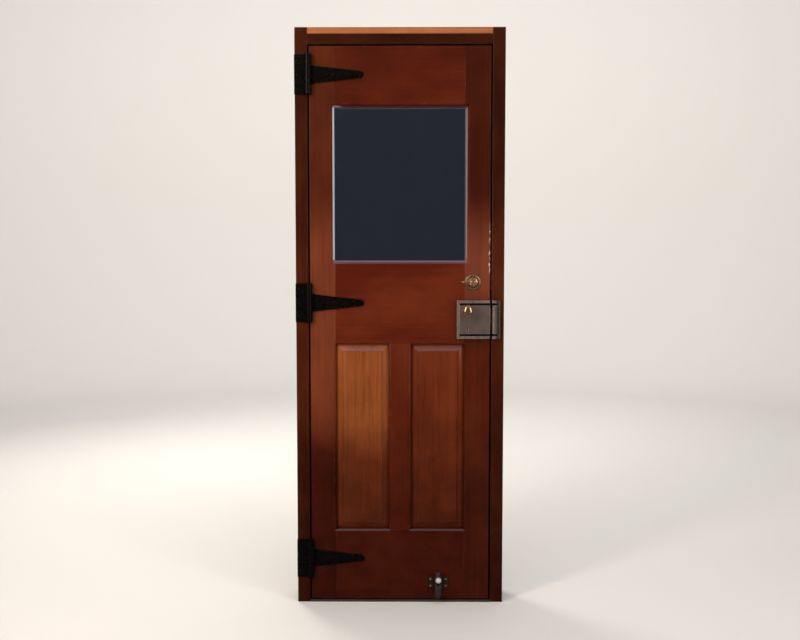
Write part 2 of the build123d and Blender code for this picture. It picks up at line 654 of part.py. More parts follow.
# Foot bolt: plate, barrel on a saddle, and the rod that slides in it by the knob at its front.
Z_FOOT = Z_LEAF + FOOT_H
Y_FOOT = Y_IN - FOOT_PLATE_T - FOOT_STAND
FOOT_BARREL_Z = (Z_FOOT - FOOT_BARREL_DROP - FOOT_BARREL_H / 2, Z_FOOT - FOOT_BARREL_DROP + FOOT_BARREL_H / 2)
Z_FOOT_KNOB = Z_FOOT + FOOT_KNOB_RISE


def foot_plate():
    """A flat plate with rounded corners."""
    outline = Pos(X_FOOT, Z_FOOT) * RectangleRounded(FOOT_PLATE_W, FOOT_PLATE_H, FOOT_PLATE_EASE)
    return facing(outline, Y_IN - FOOT_PLATE_T, FOOT_PLATE_T)


def foot_barrel():
    """The barrel and its saddle on the plate, bored for the rod, with a slot for the stem of its knob."""
    barrel = upright(X_FOOT, Y_FOOT, FOOT_BARREL_R, FOOT_BARREL_Z)
    barrel = fillet(barrel.edges().filter_by(GeomType.CIRCLE), FOOT_BARREL_EASE)
    half_w, half_h = FOOT_SADDLE_W / 2, FOOT_SADDLE_H / 2
    saddle_y = (Y_FOOT, Y_IN - FOOT_PLATE_T)
    barrel += block((X_FOOT - half_w, X_FOOT + half_w), saddle_y, (Z_FOOT - half_h, Z_FOOT + half_h))
    barrel -= upright(X_FOOT, Y_FOOT, FOOT_ROD_R + FOOT_ROD_FIT, FOOT_BARREL_Z)
    half_slot = FOOT_STEM_R + FOOT_STEM_PLAY
    slot_z = (Z_FOOT_KNOB - half_slot - FOOT_TRAVEL, Z_FOOT_KNOB + half_slot)
    return barrel - block((X_FOOT - half_slot, X_FOOT + half_slot), (Y_FOOT - FOOT_BARREL_R, Y_FOOT), slot_z)


def foot_rod():
    """The rod, with its grip resting on the barrel's top and a ball knob on a stem at its front."""
    low, high = FOOT_BARREL_Z
    rod = upright(X_FOOT, Y_FOOT, FOOT_ROD_R, (low - FOOT_ROD_BELOW, high))
    grip = upright(X_FOOT, Y_FOOT, FOOT_GRIP_R, (high, high + FOOT_GRIP_H))
    rod += fillet(grip.edges().sort_by(Axis.Z)[-1], FOOT_BARREL_EASE)
    knob_y = Y_FOOT - FOOT_BARREL_R - FOOT_STEM_SHOW - FOOT_KNOB_R
    rod += across(X_FOOT, Z_FOOT_KNOB, FOOT_STEM_R, (knob_y, Y_FOOT))
    return rod + Pos(X_FOOT, knob_y, Z_FOOT_KNOB) * Sphere(FOOT_KNOB_R)


save("foot_bolt_plate", foot_plate())
save("foot_bolt_barrel", foot_barrel())
save("foot_bolt_rod", foot_rod())
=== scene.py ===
import json
import math

import bmesh
import bpy
import numpy as np
from bpy.props import FloatProperty, FloatVectorProperty, PointerProperty
from mathutils import Vector
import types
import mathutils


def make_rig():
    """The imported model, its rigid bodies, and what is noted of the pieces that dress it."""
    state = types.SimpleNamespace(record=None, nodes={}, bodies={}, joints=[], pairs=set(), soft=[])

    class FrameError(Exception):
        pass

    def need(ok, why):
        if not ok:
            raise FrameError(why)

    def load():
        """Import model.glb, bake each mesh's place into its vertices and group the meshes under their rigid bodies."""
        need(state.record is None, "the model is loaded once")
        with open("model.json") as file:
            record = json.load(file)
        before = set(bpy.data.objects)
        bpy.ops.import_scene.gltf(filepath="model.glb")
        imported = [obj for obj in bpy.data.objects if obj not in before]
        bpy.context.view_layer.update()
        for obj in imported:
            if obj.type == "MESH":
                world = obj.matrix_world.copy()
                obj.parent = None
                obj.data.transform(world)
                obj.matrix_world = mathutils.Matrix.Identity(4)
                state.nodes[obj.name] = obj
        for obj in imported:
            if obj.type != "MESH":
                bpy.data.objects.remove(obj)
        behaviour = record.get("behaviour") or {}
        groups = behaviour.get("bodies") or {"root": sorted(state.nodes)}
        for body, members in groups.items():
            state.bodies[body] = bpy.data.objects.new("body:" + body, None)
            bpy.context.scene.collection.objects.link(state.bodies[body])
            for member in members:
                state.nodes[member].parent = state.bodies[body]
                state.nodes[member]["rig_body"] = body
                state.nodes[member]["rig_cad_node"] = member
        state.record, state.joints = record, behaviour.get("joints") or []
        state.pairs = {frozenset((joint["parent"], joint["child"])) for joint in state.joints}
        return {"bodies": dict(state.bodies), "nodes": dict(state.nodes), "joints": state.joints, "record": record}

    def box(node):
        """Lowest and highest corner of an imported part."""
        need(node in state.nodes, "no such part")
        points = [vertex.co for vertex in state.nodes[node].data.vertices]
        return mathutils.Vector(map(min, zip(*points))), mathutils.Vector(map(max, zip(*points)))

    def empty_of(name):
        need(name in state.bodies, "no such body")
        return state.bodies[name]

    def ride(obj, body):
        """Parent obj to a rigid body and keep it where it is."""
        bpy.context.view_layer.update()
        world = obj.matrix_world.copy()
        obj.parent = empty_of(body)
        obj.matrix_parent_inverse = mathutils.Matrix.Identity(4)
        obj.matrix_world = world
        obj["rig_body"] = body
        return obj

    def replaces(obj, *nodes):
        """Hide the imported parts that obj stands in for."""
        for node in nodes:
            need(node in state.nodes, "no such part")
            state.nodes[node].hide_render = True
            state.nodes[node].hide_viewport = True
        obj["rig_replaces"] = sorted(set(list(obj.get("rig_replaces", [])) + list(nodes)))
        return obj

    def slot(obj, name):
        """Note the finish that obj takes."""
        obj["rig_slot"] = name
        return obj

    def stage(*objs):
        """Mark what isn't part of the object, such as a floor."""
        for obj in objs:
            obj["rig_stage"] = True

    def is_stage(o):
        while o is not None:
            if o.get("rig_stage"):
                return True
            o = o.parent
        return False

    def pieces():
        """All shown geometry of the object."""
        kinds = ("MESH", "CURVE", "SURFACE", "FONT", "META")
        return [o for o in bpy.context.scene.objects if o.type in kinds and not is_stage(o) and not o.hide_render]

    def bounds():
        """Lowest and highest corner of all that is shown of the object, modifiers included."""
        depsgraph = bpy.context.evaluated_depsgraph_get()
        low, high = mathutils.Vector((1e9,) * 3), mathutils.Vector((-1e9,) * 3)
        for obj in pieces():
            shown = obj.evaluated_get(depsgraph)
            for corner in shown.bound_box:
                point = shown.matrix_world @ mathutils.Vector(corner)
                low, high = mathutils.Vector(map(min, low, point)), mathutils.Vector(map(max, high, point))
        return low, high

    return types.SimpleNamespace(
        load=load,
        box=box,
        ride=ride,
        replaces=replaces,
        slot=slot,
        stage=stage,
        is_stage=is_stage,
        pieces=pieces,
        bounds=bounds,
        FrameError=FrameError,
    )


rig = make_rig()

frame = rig.load()
CAD_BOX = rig.bounds()

bl_info = {
    "name": "Wooden end door",
    "version": (1, 0, 0),
    "blender": (4, 5, 0),
    "location": "3D View > Sidebar > Door",
    "description": "Finishes a panelled end door on T-hinges, with its lock, bolts, glass and frame",
    "category": "Object",
}


def length(name, description, default):
    """A size in metres that a user may change."""
    return FloatProperty(name=name, description=description, default=default, min=0.0, unit="LENGTH")


def share(name, description, default):
    """A part of a whole, from 0 to 1."""
    return FloatProperty(name=name, description=description, default=default, min=0.0, max=1.0)


def colour(name, description, default):
    """A colour that a user may change."""
    return FloatVectorProperty(
        name=name, description=description, default=default, min=0.0, max=1.0, size=3, subtype="COLOR"
    )


class DoorSizes(bpy.types.PropertyGroup):
    """Sizes of the door's dressing"""

    wood_arris: length("Wood arris", "Rounding of the edges of the frame's boards", 0.0007)
    mould_arris: length("Moulding arris", "Rounding of the leaf's boards, less than half their step", 0.0004)
    metal_arris: length("Metal arris", "Rounding of the edges of iron and brass", 0.0004)
    strap_screw_near: length("Near strap screw", "First strap screw, from the hinge pin", 0.065)
    strap_screw_far: length("Far strap screw", "Second strap screw, from the hinge pin", 0.0895)
    strap_screw: length("Strap screw", "Diameter of the strap's screw heads", 0.010)
    plate_screw: length("Plate screw", "Diameter of the hinge plate's screw heads", 0.009)
    plate_screw_pitch: length("Plate screw pitch", "Height between the hinge plate's screws", 0.048)
    lock_screw: length("Lock screw", "Diameter of the screws in the outer lock plate", 0.008)
    edge_screw: length("Edge screw", "Diameter of the screws in the deadbolt's edge plates", 0.007)
    foot_screw: length("Foot screw", "Diameter of the screws in the foot bolt's plate", 0.0075)
    foot_screw_x: length("Foot screw spread", "Screws from the foot bolt's middle line", 0.0275)
    foot_screw_z: length("Foot screw rise", "Screws above and below the plate's middle", 0.0122)
    glass_wave: length("Glass wave", "Depth of the waves in the old drawn glass", 0.00012)
    edging: length("Window edging", "Width of the pale quarter round strip against the glass", 0.006)


class DoorColours(bpy.types.PropertyGroup):
    """Colours of the door's finishes"""

    red_wood: colour("Red wood", "Varnished wood at its reddest", (0.117, 0.0110, 0.0026))
    # Gold wood is also the tone of the painted pool of lamp light on the hinge side's boards.
    gold_wood: colour("Gold wood", "Varnished wood where it has faded to gold", (0.29, 0.088, 0.020))
    casing_wood: colour("Casing wood", "Darker boards of the frame", (0.060, 0.0086, 0.0023))
    bare_wood: colour("Bare wood", "Wood where the varnish has gone", (0.50, 0.27, 0.14))
    pine: colour("Pine", "Light board between the tops of the casings", (0.55, 0.185, 0.062))
    iron: colour("Iron", "Black paint on the hinges", (0.0022, 0.0017, 0.0015))
    iron_worn: colour("Worn iron", "Hinge paint where it is rubbed", (0.018, 0.014, 0.013))
    bronze: colour("Bronze", "Aged bronze of the lock", (0.170, 0.125, 0.106))
    # Worn bronze is also the colour of the painted highlight down the keeper's nose.
    bronze_worn: colour("Worn bronze", "Lock bronze where hands have rubbed it", (0.56, 0.43, 0.37))
    brass: colour("Brass", "Knobs, rosette and plates", (0.80, 0.51, 0.33))
    dark_iron: colour("Dark iron", "Foot bolt where its plating has gone", (0.105, 0.078, 0.090))
    nickel: colour("Nickel", "What is left of the foot bolt's plating", (0.80, 0.74, 0.72))
    foot_plate: colour("Foot plate", "Brown plate of the foot bolt", (0.040, 0.011, 0.006))
    dull_screw: colour("Dull screw", "Screws of the foot bolt", (0.30, 0.235, 0.23))
    steel: colour("Steel", "Bolts and sill", (0.34, 0.32, 0.30))
    bead: colour("Bead paint", "Paint of the glazing beads", (0.47, 0.48, 0.53))
    # The glass's deep blue tint is a painted shade: it darkens the pane as if dusk lay outside.
    glass: colour("Glass", "Tint of the window glass", (0.34, 0.41, 0.62))
    floor: colour("Floor", "Floor of the stage", (0.80, 0.78, 0.75))


class DoorStage(bpy.types.PropertyGroup):
    """The camera and the lights"""

    eye_height: length("Eye height", "Camera above the floor", 1.245)
    eye_right: length("Eye right", "Camera to the right of the door's middle", 0.02)
    eye_distance: length("Eye distance", "Camera from the door's face", 3.35)
    fill_share: share("Door in frame", "Share of the picture's height that the door takes", 0.90)


# The width of the camera's sensor in millimetres, and the picture's width over its height.
SENSOR_MM = 36.0
PICTURE_ASPECT = 800 / 640

ORIGIN = (0.0, 0.0, 0.0)

# The frame's axes: X to the right, Y through the door from the inside out, and Z up.
RIGHT, OUTSIDE, UP = np.eye(3)
INSIDE = -OUTSIDE

# Painted shadow that turns the gold of the hinge side's boards to red below, dust and a painted sheen on
# what faces up, painted light that pales the stiles, and black tarnish and painted shade in grooves of metal.
PAINTED_SHADOW_TINT = (0.45, 0.26, 0.28, 1.0)
DUST_AND_SHEEN = (0.26, 0.20, 0.25, 1.0)
PAINTED_LIGHT_TINT = (0.46, 0.135, 0.065, 1.0)
BLACK_TARNISH_AND_SHADE = (0.006, 0.005, 0.005, 1.0)

# Old paint of beads and edging: grime and painted shade in its corners, grime in clouds, and three sides of
# the edging, darkened as painted shade and shadow.
PAINT_GRIME_AND_SHADE = (0.09, 0.07, 0.06, 1.0)
PAINT_CLOUD = (0.35, 0.32, 0.28, 1.0)
EDGING_RIGHT_SHADE = (0.21, 0.125, 0.11, 1.0)
EDGING_BELOW_SHADE = (0.125, 0.085, 0.14, 1.0)
EDGING_ABOVE_SHADOW = (0.10, 0.055, 0.045, 1.0)

# Grain axes: the turn about X, Y and Z that brings the board's length to Z, and how strong its streaks are.
GRAIN_TURN = {"Z": (0.0, 0.0, 0.0), "X": (0.0, -math.pi / 2, 0.0)}
STREAKS = {"Z": 0.36, "X": 0.24}

# Heights between which the wood darkens towards the floor, with boot scuffs and painted shade, and towards the head,
# with painted shade.
SCUFF_AND_SHADE_HEIGHTS = (0.90, 0.28)
PAINTED_SHADE_ABOVE_HEIGHTS = (1.18, 1.62)

# Metals. Columns: its own colour, its colour where rubbed, tarnish, roughness, how fine the tarnish is, how
# much of it, how rubbed the edges are, how metallic, sheen, how far marks dull and dent it, seed.
METALS = {
    "hinge_black": ("iron", "iron_worn", (0.004, 0.003, 0.0026), 0.24, 90, 0.5, 0.45, 0.0, 0.1, 0.4, 61),
    "lock_bronze_aged": (
        "bronze", "bronze_worn", (0.085, 0.066, 0.055), 0.4, 34, 0.5, 0.95, 0.55, 0.5, 1.0, 71
    ),
    "bolt_steel_worn": ("steel", "steel", (0.12, 0.09, 0.07), 0.32, 60, 0.5, 0.5, 1.0, 0.5, 1.0, 75),
    "knob_brass": ("brass", "brass", (0.30, 0.155, 0.07), 0.15, 48, 0.45, 0.6, 0.93, 0.5, 0.35, 79),
    "deadbolt_brass": ("brass", "brass", (0.23, 0.092, 0.042), 0.17, 60, 0.42, 0.9, 0.86, 0.5, 0.45, 87),
    "deadbolt_plate_brass": ("brass", "brass", (0.26, 0.14, 0.08), 0.24, 60, 0.35, 0.8, 1.0, 0.5, 1.0, 89),
    "foot_bolt_iron": ("dark_iron", "nickel", (0.035, 0.02, 0.015), 0.32, 70, 0.6, 0.15, 0.7, 0.5, 1.0, 83),
    "foot_bolt_nickel": ("nickel", "nickel", (0.34, 0.28, 0.27), 0.2, 70, 0.25, 0.8, 0.45, 0.5, 1.0, 85),
    "foot_bolt_plate_brown": (
        "foot_plate", "dark_iron", (0.022, 0.007, 0.004), 0.42, 50, 0.6, 0.3, 0.2, 0.15, 1.0, 93
    ),
    "foot_bolt_screw_dull": (
        "dull_screw", "dull_screw", (0.10, 0.07, 0.065), 0.4, 90, 0.7, 0.3, 0.4, 0.5, 1.0, 97
    ),
    "sill_steel_scuffed": ("steel", "steel", (0.20, 0.165, 0.135), 0.42, 75, 0.45, 0.5, 1.0, 0.5, 1.0, 91),
}


def span(node):
    """Lowest and highest corner of a node, as arrays in metres."""
    low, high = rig.box(node)
    return np.array(low), np.array(high)


def middle(node):
    """The middle of a node's box."""
    low, high = span(node)
    return (low + high) / 2


class Graph:
    """Adds nodes to a tree and joins them."""

    def __init__(self, tree):
        self.tree = tree

    def feed(self, socket, value):
        """Joins a socket to another, or sets its own value."""
        if isinstance(value, bpy.types.NodeSocket):
            self.tree.links.new(value, socket)
        else:
            socket.default_value = value

    def node(self, kind, values=None, **settings):
        """A shader node with its settings and inputs."""
        made = self.tree.nodes.new(f"ShaderNode{kind}")
        for name, value in settings.items():
            setattr(made, name, value)
        for socket, value in (values or {}).items():
            self.feed(made.inputs[socket], value)
        return made

    def math(self, operation, first, second=0.0):
        """One step of arithmetic on values."""
        return self.node("Math", {0: first, 1: second}, operation=operation).outputs[0]

    def plus(self, first, second):
        """Two values added."""
        return self.math("ADD", first, second)

    def minus(self, first, second):
        """One value less another."""
        return self.math("SUBTRACT", first, second)

    def times(self, first, second):
        """Two values multiplied."""
        return self.math("MULTIPLY", first, second)

    def most(self, first, second):
        """The higher of two values."""
        return self.math("MAXIMUM", first, second)

    def vector(self, operation, values, out=0):
        """One step of arithmetic on vectors."""
        return self.node("VectorMath", values, operation=operation).outputs[out]

    def scaled(self, vector, scale):
        """A vector times another, axis by axis."""
        return self.vector("MULTIPLY", {0: vector, 1: scale})

    def noise(self, vector, seed, scale=1.0, detail=2.0, roughness=0.5, out="Fac"):
        """Smooth noise about 0.5."""
        values = {"Vector": vector, "W": seed, "Scale": scale, "Detail": detail, "Roughness": roughness}
        return self.node("TexNoise", values, noise_dimensions="4D").outputs[out]

    def step(self, value, low, high, to=(0.0, 1.0)):
        """A smooth step from one value to another."""
        values = {"Value": value, 1: low, 2: high, 3: to[0], 4: to[1]}
        return self.node("MapRange", values, interpolation_type="SMOOTHSTEP").outputs[0]

    def band(self, value, low, high, soft=0.0004):
        """1 where a value lies between two limits, 0 elsewhere, with soft edges."""
        rising = self.step(value, low - soft, low + soft)
        return self.times(rising, self.step(value, high + soft, high - soft))

    def axes(self, vector):
        """The X, Y and Z of a vector."""
        return self.node("SeparateXYZ", {0: vector}).outputs

    def blend(self, factor, first, second, how="MIX"):
        """Two colours blended."""
        made = self.node("Mix", {0: factor}, data_type="RGBA", blend_type=how, clamp_factor=True)
        self.feed(made.inputs[6], first)
        self.feed(made.inputs[7], second)
        return made.outputs[2]

    def lay(self, surface, mask, strength, tone, how="MIX"):
        """A surface with a tone laid over it where a mask is, as strongly as given."""
        return self.blend(self.times(mask, strength), surface, tone, how)

    def group(self, name, values):
        """One of the shared groups, placed in this tree."""
        made = self.tree.nodes.new("ShaderNodeGroup")
        made.node_tree = bpy.data.node_groups[name]
        for socket, value in values.items():
            self.feed(made.inputs[socket], value)
        return made.outputs


def new_group(name, takes, gives):
    """A shared group with named inputs and masks as outputs: its graph, input sockets and output sockets."""
    tree = bpy.data.node_groups.new(name, "ShaderNodeTree")
    for socket, default in takes.items():
        kind = "NodeSocketVector" if isinstance(default, tuple) else "NodeSocketFloat"
        tree.interface.new_socket(socket, in_out="INPUT", socket_type=kind).default_value = default
    for socket in gives:
        tree.interface.new_socket(socket, in_out="OUTPUT", socket_type="NodeSocketFloat")
    return Graph(tree), tree.nodes.new("NodeGroupInput").outputs, tree.nodes.new("NodeGroupOutput").inputs


def long_grain_group():
    """Grain of a board whose length is Z: rings are cones about a pith, cut by the board's face."""
    takes = {"Vector": ORIGIN, "Pith": ORIGIN, "Ring width": 0.004, "Taper": 0.02, "Sway": 0.01, "Seed": 0.0}
    graph, given, out = new_group("Long grain", takes, ("Ring", "Fibre", "Pore", "Streak", "Figure"))
    place, seed = given["Vector"], given["Seed"]
    bend = graph.noise(graph.scaled(place, (4.0, 4.0, 1.1)), seed, detail=3.0, out="Color")
    bend = graph.vector("SUBTRACT", {0: bend, 1: (0.5, 0.5, 0.5)})
    bend = graph.vector("SCALE", {0: bend, 3: given["Sway"]})
    about = graph.vector("SUBTRACT", {0: place, 1: given["Pith"]})
    about = graph.vector("ADD", {0: about, 1: bend})
    radius = graph.vector("LENGTH", {0: graph.scaled(about, (1.0, 1.0, 0.0))}, "Value")
    radius = graph.plus(radius, graph.times(graph.axes(about)["Z"], given["Taper"]))
    uneven = graph.noise(graph.scaled(place, (30.0, 30.0, 0.6)), seed, detail=1.0)
    years = graph.plus(graph.math("DIVIDE", radius, given["Ring width"]), graph.times(uneven, 1.6))
    year = graph.math("FRACT", years)
    pore = graph.noise(graph.scaled(place, (1500.0, 1500.0, 48.0)), seed, detail=1.0)
    masks = {
        "Ring": graph.times(graph.math("POWER", year, 2.6), graph.step(year, 1.0, 0.90)),
        "Fibre": graph.noise(graph.scaled(place, (620.0, 620.0, 9.0)), seed, detail=4.0, roughness=0.7),
        "Pore": graph.step(pore, 0.64, 0.72),
        "Streak": graph.noise(graph.scaled(place, (115.0, 115.0, 1.6)), seed, detail=4.0, roughness=0.6),
        "Figure": graph.noise(graph.scaled(place, (8.0, 8.0, 3.0)), seed, detail=4.0, roughness=0.55),
    }
    for name, mask in masks.items():
        graph.feed(out[name], mask)


def edge_wear_group():
    """Rubbed edges: the mask is where a softly rounded normal leaves the true one, broken up by noise."""
    takes = {"Vector": ORIGIN, "Radius": 0.002, "Amount": 0.5, "Seed": 0.0}
    graph, given, out = new_group("Edge wear", takes, ["Mask"])
    soft = graph.node("Bevel", {"Radius": given["Radius"]}, samples=4).outputs["Normal"]
    true = graph.node("NewGeometry").outputs["Normal"]
    same = graph.vector("DOT_PRODUCT", {0: soft, 1: true}, "Value")
    patches = graph.noise(given["Vector"], given["Seed"], scale=28.0, detail=5.0, roughness=0.65)
    limit = graph.minus(0.78, graph.times(given["Amount"], 0.5))
    patches = graph.step(patches, limit, graph.plus(limit, 0.12))
    graph.feed(out["Mask"], graph.times(graph.step(same, 0.995, 0.90), patches))


def dirt_and_shade_group():
    """Dirt: it gathers in corners that little light reaches, and lies in faint clouds elsewhere."""
    takes = {"Vector": ORIGIN, "Reach": 0.01, "Amount": 0.5, "Seed": 0.0}
    graph, given, out = new_group("Dirt", takes, ("Corners", "Clouds"))
    open_air = graph.node("AmbientOcclusion", {"Distance": given["Reach"]}, samples=6).outputs["AO"]
    graph.feed(out["Corners"], graph.times(graph.step(open_air, 0.75, 0.15), given["Amount"]))
    clouds = graph.noise(given["Vector"], given["Seed"], scale=11.0, detail=6.0, roughness=0.6)
    graph.feed(out["Clouds"], graph.step(clouds, 0.38, 0.72))


def patina_group():
    """Marks on metal: clouds of tarnish, small specks and fine scratches in two directions."""
    graph, given, out = new_group(
        "Patina", {"Vector": ORIGIN, "Scale": 60.0, "Seed": 0.0}, ("Cloud", "Speck", "Scratch")
    )
    place, seed = given["Vector"], given["Seed"]
    cloud = graph.noise(place, seed, scale=given["Scale"], detail=5.0, roughness=0.62)
    graph.feed(out["Cloud"], graph.step(cloud, 0.34, 0.68))
    speck = graph.noise(place, seed, scale=graph.times(given["Scale"], 14.0), detail=2.0)
    graph.feed(out["Speck"], graph.step(speck, 0.60, 0.74))
    across = graph.noise(graph.scaled(place, (60.0, 900.0, 2400.0)), seed, detail=2.0)
    upwards = graph.noise(graph.scaled(place, (2600.0, 900.0, 90.0)), seed, detail=2.0)
    graph.feed(out["Scratch"], graph.step(graph.most(across, upwards), 0.66, 0.78))


def new_material(name):
    """A material with its graph, its shader and the coordinates of the piece."""
    made = bpy.data.materials.new(name)
    made.use_nodes = True
    graph = Graph(made.node_tree)
    shader = made.node_tree.nodes["Principled BSDF"]
    place = graph.node("TexCoord").outputs["Object"]
    return made, graph, shader, place


def relief(graph, shader, height, depth):
    """Fine relief on the surface: a height from 0 to 1 times a depth in metres."""
    bump = graph.node("Bump", {"Height": height, "Distance": depth, "Strength": 1.0})
    graph.feed(shader.inputs["Normal"], bump.outputs["Normal"])


def tinted(base, brightness=1.0):
    """A colour made brighter or darker, with its alpha."""
    return (*[min(1.0, part * brightness) for part in base], 1.0)


def between(first, second, part):
    """A colour on the way from one to another."""
    return [a + (b - a) * part for a, b in zip(first, second)]


def wood(
    name, along, base, brightness, pith, seed,
    gloss=0.48, darkness=0.85, chips_and_gap_light=None, field=None, fade=None, pale=None,
):
    """Varnished wood: late rings, streaks and pores darken it, and its figure turns it towards gold.

    Worn edges show bare wood, corners hold dirt, boots have darkened it near the floor and soot near the
    head. Gloss is its coat of varnish, and grime is how dark its corners are. Chips are a place in x and y,
    and a lowest and highest z, where an arris has lost its varnish. Field is the lowest and highest corner
    of a panel's raised field, which dirt outlines. Fade is the height below which the sun hasn't reached it,
    and the height above which it is as gold as the base. Pale is the lowest and highest height that hands
    and sun have paled, and how far."""
    colours = bpy.context.scene.door_colours
    made, graph, shader, place = new_material(name)

    def shade(part):
        """The base at a part of its own brightness."""
        return tinted(base, part * brightness)

    turned_place = graph.node("Mapping", {"Vector": place, "Rotation": GRAIN_TURN[along]}).outputs[0]
    grain = graph.group("Long grain", {"Vector": turned_place, "Pith": pith, "Seed": seed})
    dirt_and_shade = graph.group("Dirt", {"Vector": place, "Reach": 0.014, "Amount": darkness, "Seed": seed})
    worn = graph.group("Edge wear", {"Vector": place, "Radius": 0.0022, "Amount": 0.55, "Seed": seed})["Mask"]
    side, depth, height = graph.axes(place)
    figure = graph.step(grain["Figure"], 0.34, 0.68)
    tone = graph.times(graph.step(grain["Streak"], 0.30, 0.70), STREAKS[along])
    tone = graph.plus(tone, graph.times(figure, 0.26))
    tone = graph.plus(tone, graph.times(grain["Fibre"], 0.42))
    tone = graph.minus(tone, graph.times(grain["Ring"], 0.24))
    honey = between(base, colours.gold_wood, 0.30)
    # The wood is darker towards the floor, with boot scuffs and painted shade, and darker towards the head, with
    # painted shade.
    scuffs_and_shade_below = graph.times(graph.step(height, *SCUFF_AND_SHADE_HEIGHTS), graph.step(dirt_and_shade["Clouds"], -1.6, 1.0))
    painted_shade_above = graph.times(graph.step(height, *PAINTED_SHADE_ABOVE_HEIGHTS), graph.step(dirt_and_shade["Clouds"], -2.2, 1.0))
    surface = graph.blend(tone, shade(0.50), shade(1.32))
    surface = graph.lay(surface, figure, 0.30, tinted(honey, 1.15 * brightness))
    for mask, strength, part in (
        (grain["Pore"], 0.40, 0.20), (dirt_and_shade["Clouds"], 0.10, 0.30), (scuffs_and_shade_below, 0.70, 0.24), (painted_shade_above, 0.56, 0.24)
    ):
        surface = graph.lay(surface, mask, strength, shade(part))
    # Painted shadow: below the lower height the board is multiplied towards a dull red, and above the upper its gold,
    # a painted pool of lamp light, shows.
    if fade:
        ragged = graph.times(graph.minus(grain["Figure"], 0.5), 0.16)
        in_painted_shadow = graph.step(graph.plus(height, ragged), fade[1], fade[0])
        surface = graph.lay(surface, in_painted_shadow, 0.85, PAINTED_SHADOW_TINT, "MULTIPLY")
    # Painted light: the stiles are paler over their middle heights.
    if pale:
        low, high, how_far = pale
        zone = graph.times(graph.band(height, low, high, 0.12), how_far)
        zone = graph.times(zone, graph.step(grain["Streak"], 0.10, 0.60, (0.6, 1.15)))
        surface = graph.blend(zone, surface, PAINTED_LIGHT_TINT)
    # Upward faces turn lavender: dust, and a painted sheen of the light from above on the panels' top bevels.
    facing_up = graph.axes(graph.node("NewGeometry").outputs["Normal"])["Z"]
    surface = graph.blend(graph.step(facing_up, 0.03, 0.40, (0.0, 0.16)), surface, DUST_AND_SHEEN)
    # Corners that little light reaches turn almost black: dirt and painted shade, deepest in the gaps round the leaf.
    surface = graph.blend(dirt_and_shade["Corners"], surface, tinted(base, 0.10))
    # A dark line round the panel's raised field: a painted shadow of its step.
    if field is not None:
        surface = graph.lay(surface, step_shadow_line(graph, place, field), 0.62, shade(0.12))
    surface = graph.lay(surface, worn, 0.55, tinted(between(base, colours.bare_wood, 0.32), brightness))
    # Pale bare wood along the arris: chipped varnish, and painted light from the door's gap.
    if chips_and_gap_light:
        edge, face, low, high = chips_and_gap_light
        ragged = graph.noise(graph.scaled(place, (150.0, 150.0, 90.0)), seed, detail=4.0, roughness=0.65)
        reach = graph.times(graph.step(ragged, 0.46, 0.64), 0.0055)
        away = graph.plus(graph.minus(edge, side), graph.minus(depth, face))
        chipped_and_gap_lit = graph.step(graph.minus(reach, away), 0.0, 0.0004)
        chipped_and_gap_lit = graph.times(chipped_and_gap_lit, graph.band(height, low, high, 0.02))
        surface = graph.blend(chipped_and_gap_lit, surface, tinted(between(colours.bare_wood, (0.7, 0.6, 0.55), 0.5)))
        worn = graph.most(worn, chipped_and_gap_lit)
    rough = graph.plus(0.36, graph.times(grain["Fibre"], 0.16))
    rough = graph.plus(rough, graph.times(dirt_and_shade["Clouds"], 0.10))
    dulled = graph.most(worn, graph.times(scuffs_and_shade_below, 0.5))
    graph.feed(shader.inputs["Base Color"], surface)
    graph.feed(shader.inputs["Roughness"], graph.plus(rough, graph.times(worn, 0.2)))
    graph.feed(shader.inputs["Coat Weight"], graph.step(dulled, 0.0, 1.0, (gloss, 0.06 * gloss)))
    shader.inputs["Coat Roughness"].default_value = 0.15
    shader.inputs["Specular IOR Level"].default_value = 0.03
    rise = graph.minus(graph.times(grain["Fibre"], 0.35), grain["Pore"])
    relief(graph, shader, graph.minus(rise, graph.times(grain["Ring"], 0.3)), 0.00022)
    return made


def step_shadow_line(graph, place, field):
    """A line that follows the sides of a rectangle in x and z."""
    low, high = field
    side, _, height = graph.axes(place)
    inside = graph.math("MINIMUM", graph.minus(side, low[0]), graph.minus(high[0], side))
    for value in (graph.minus(height, low[2]), graph.minus(high[2], height)):
        inside = graph.math("MINIMUM", inside, value)
    return graph.band(inside, -0.0014, 0.0002, 0.0007)


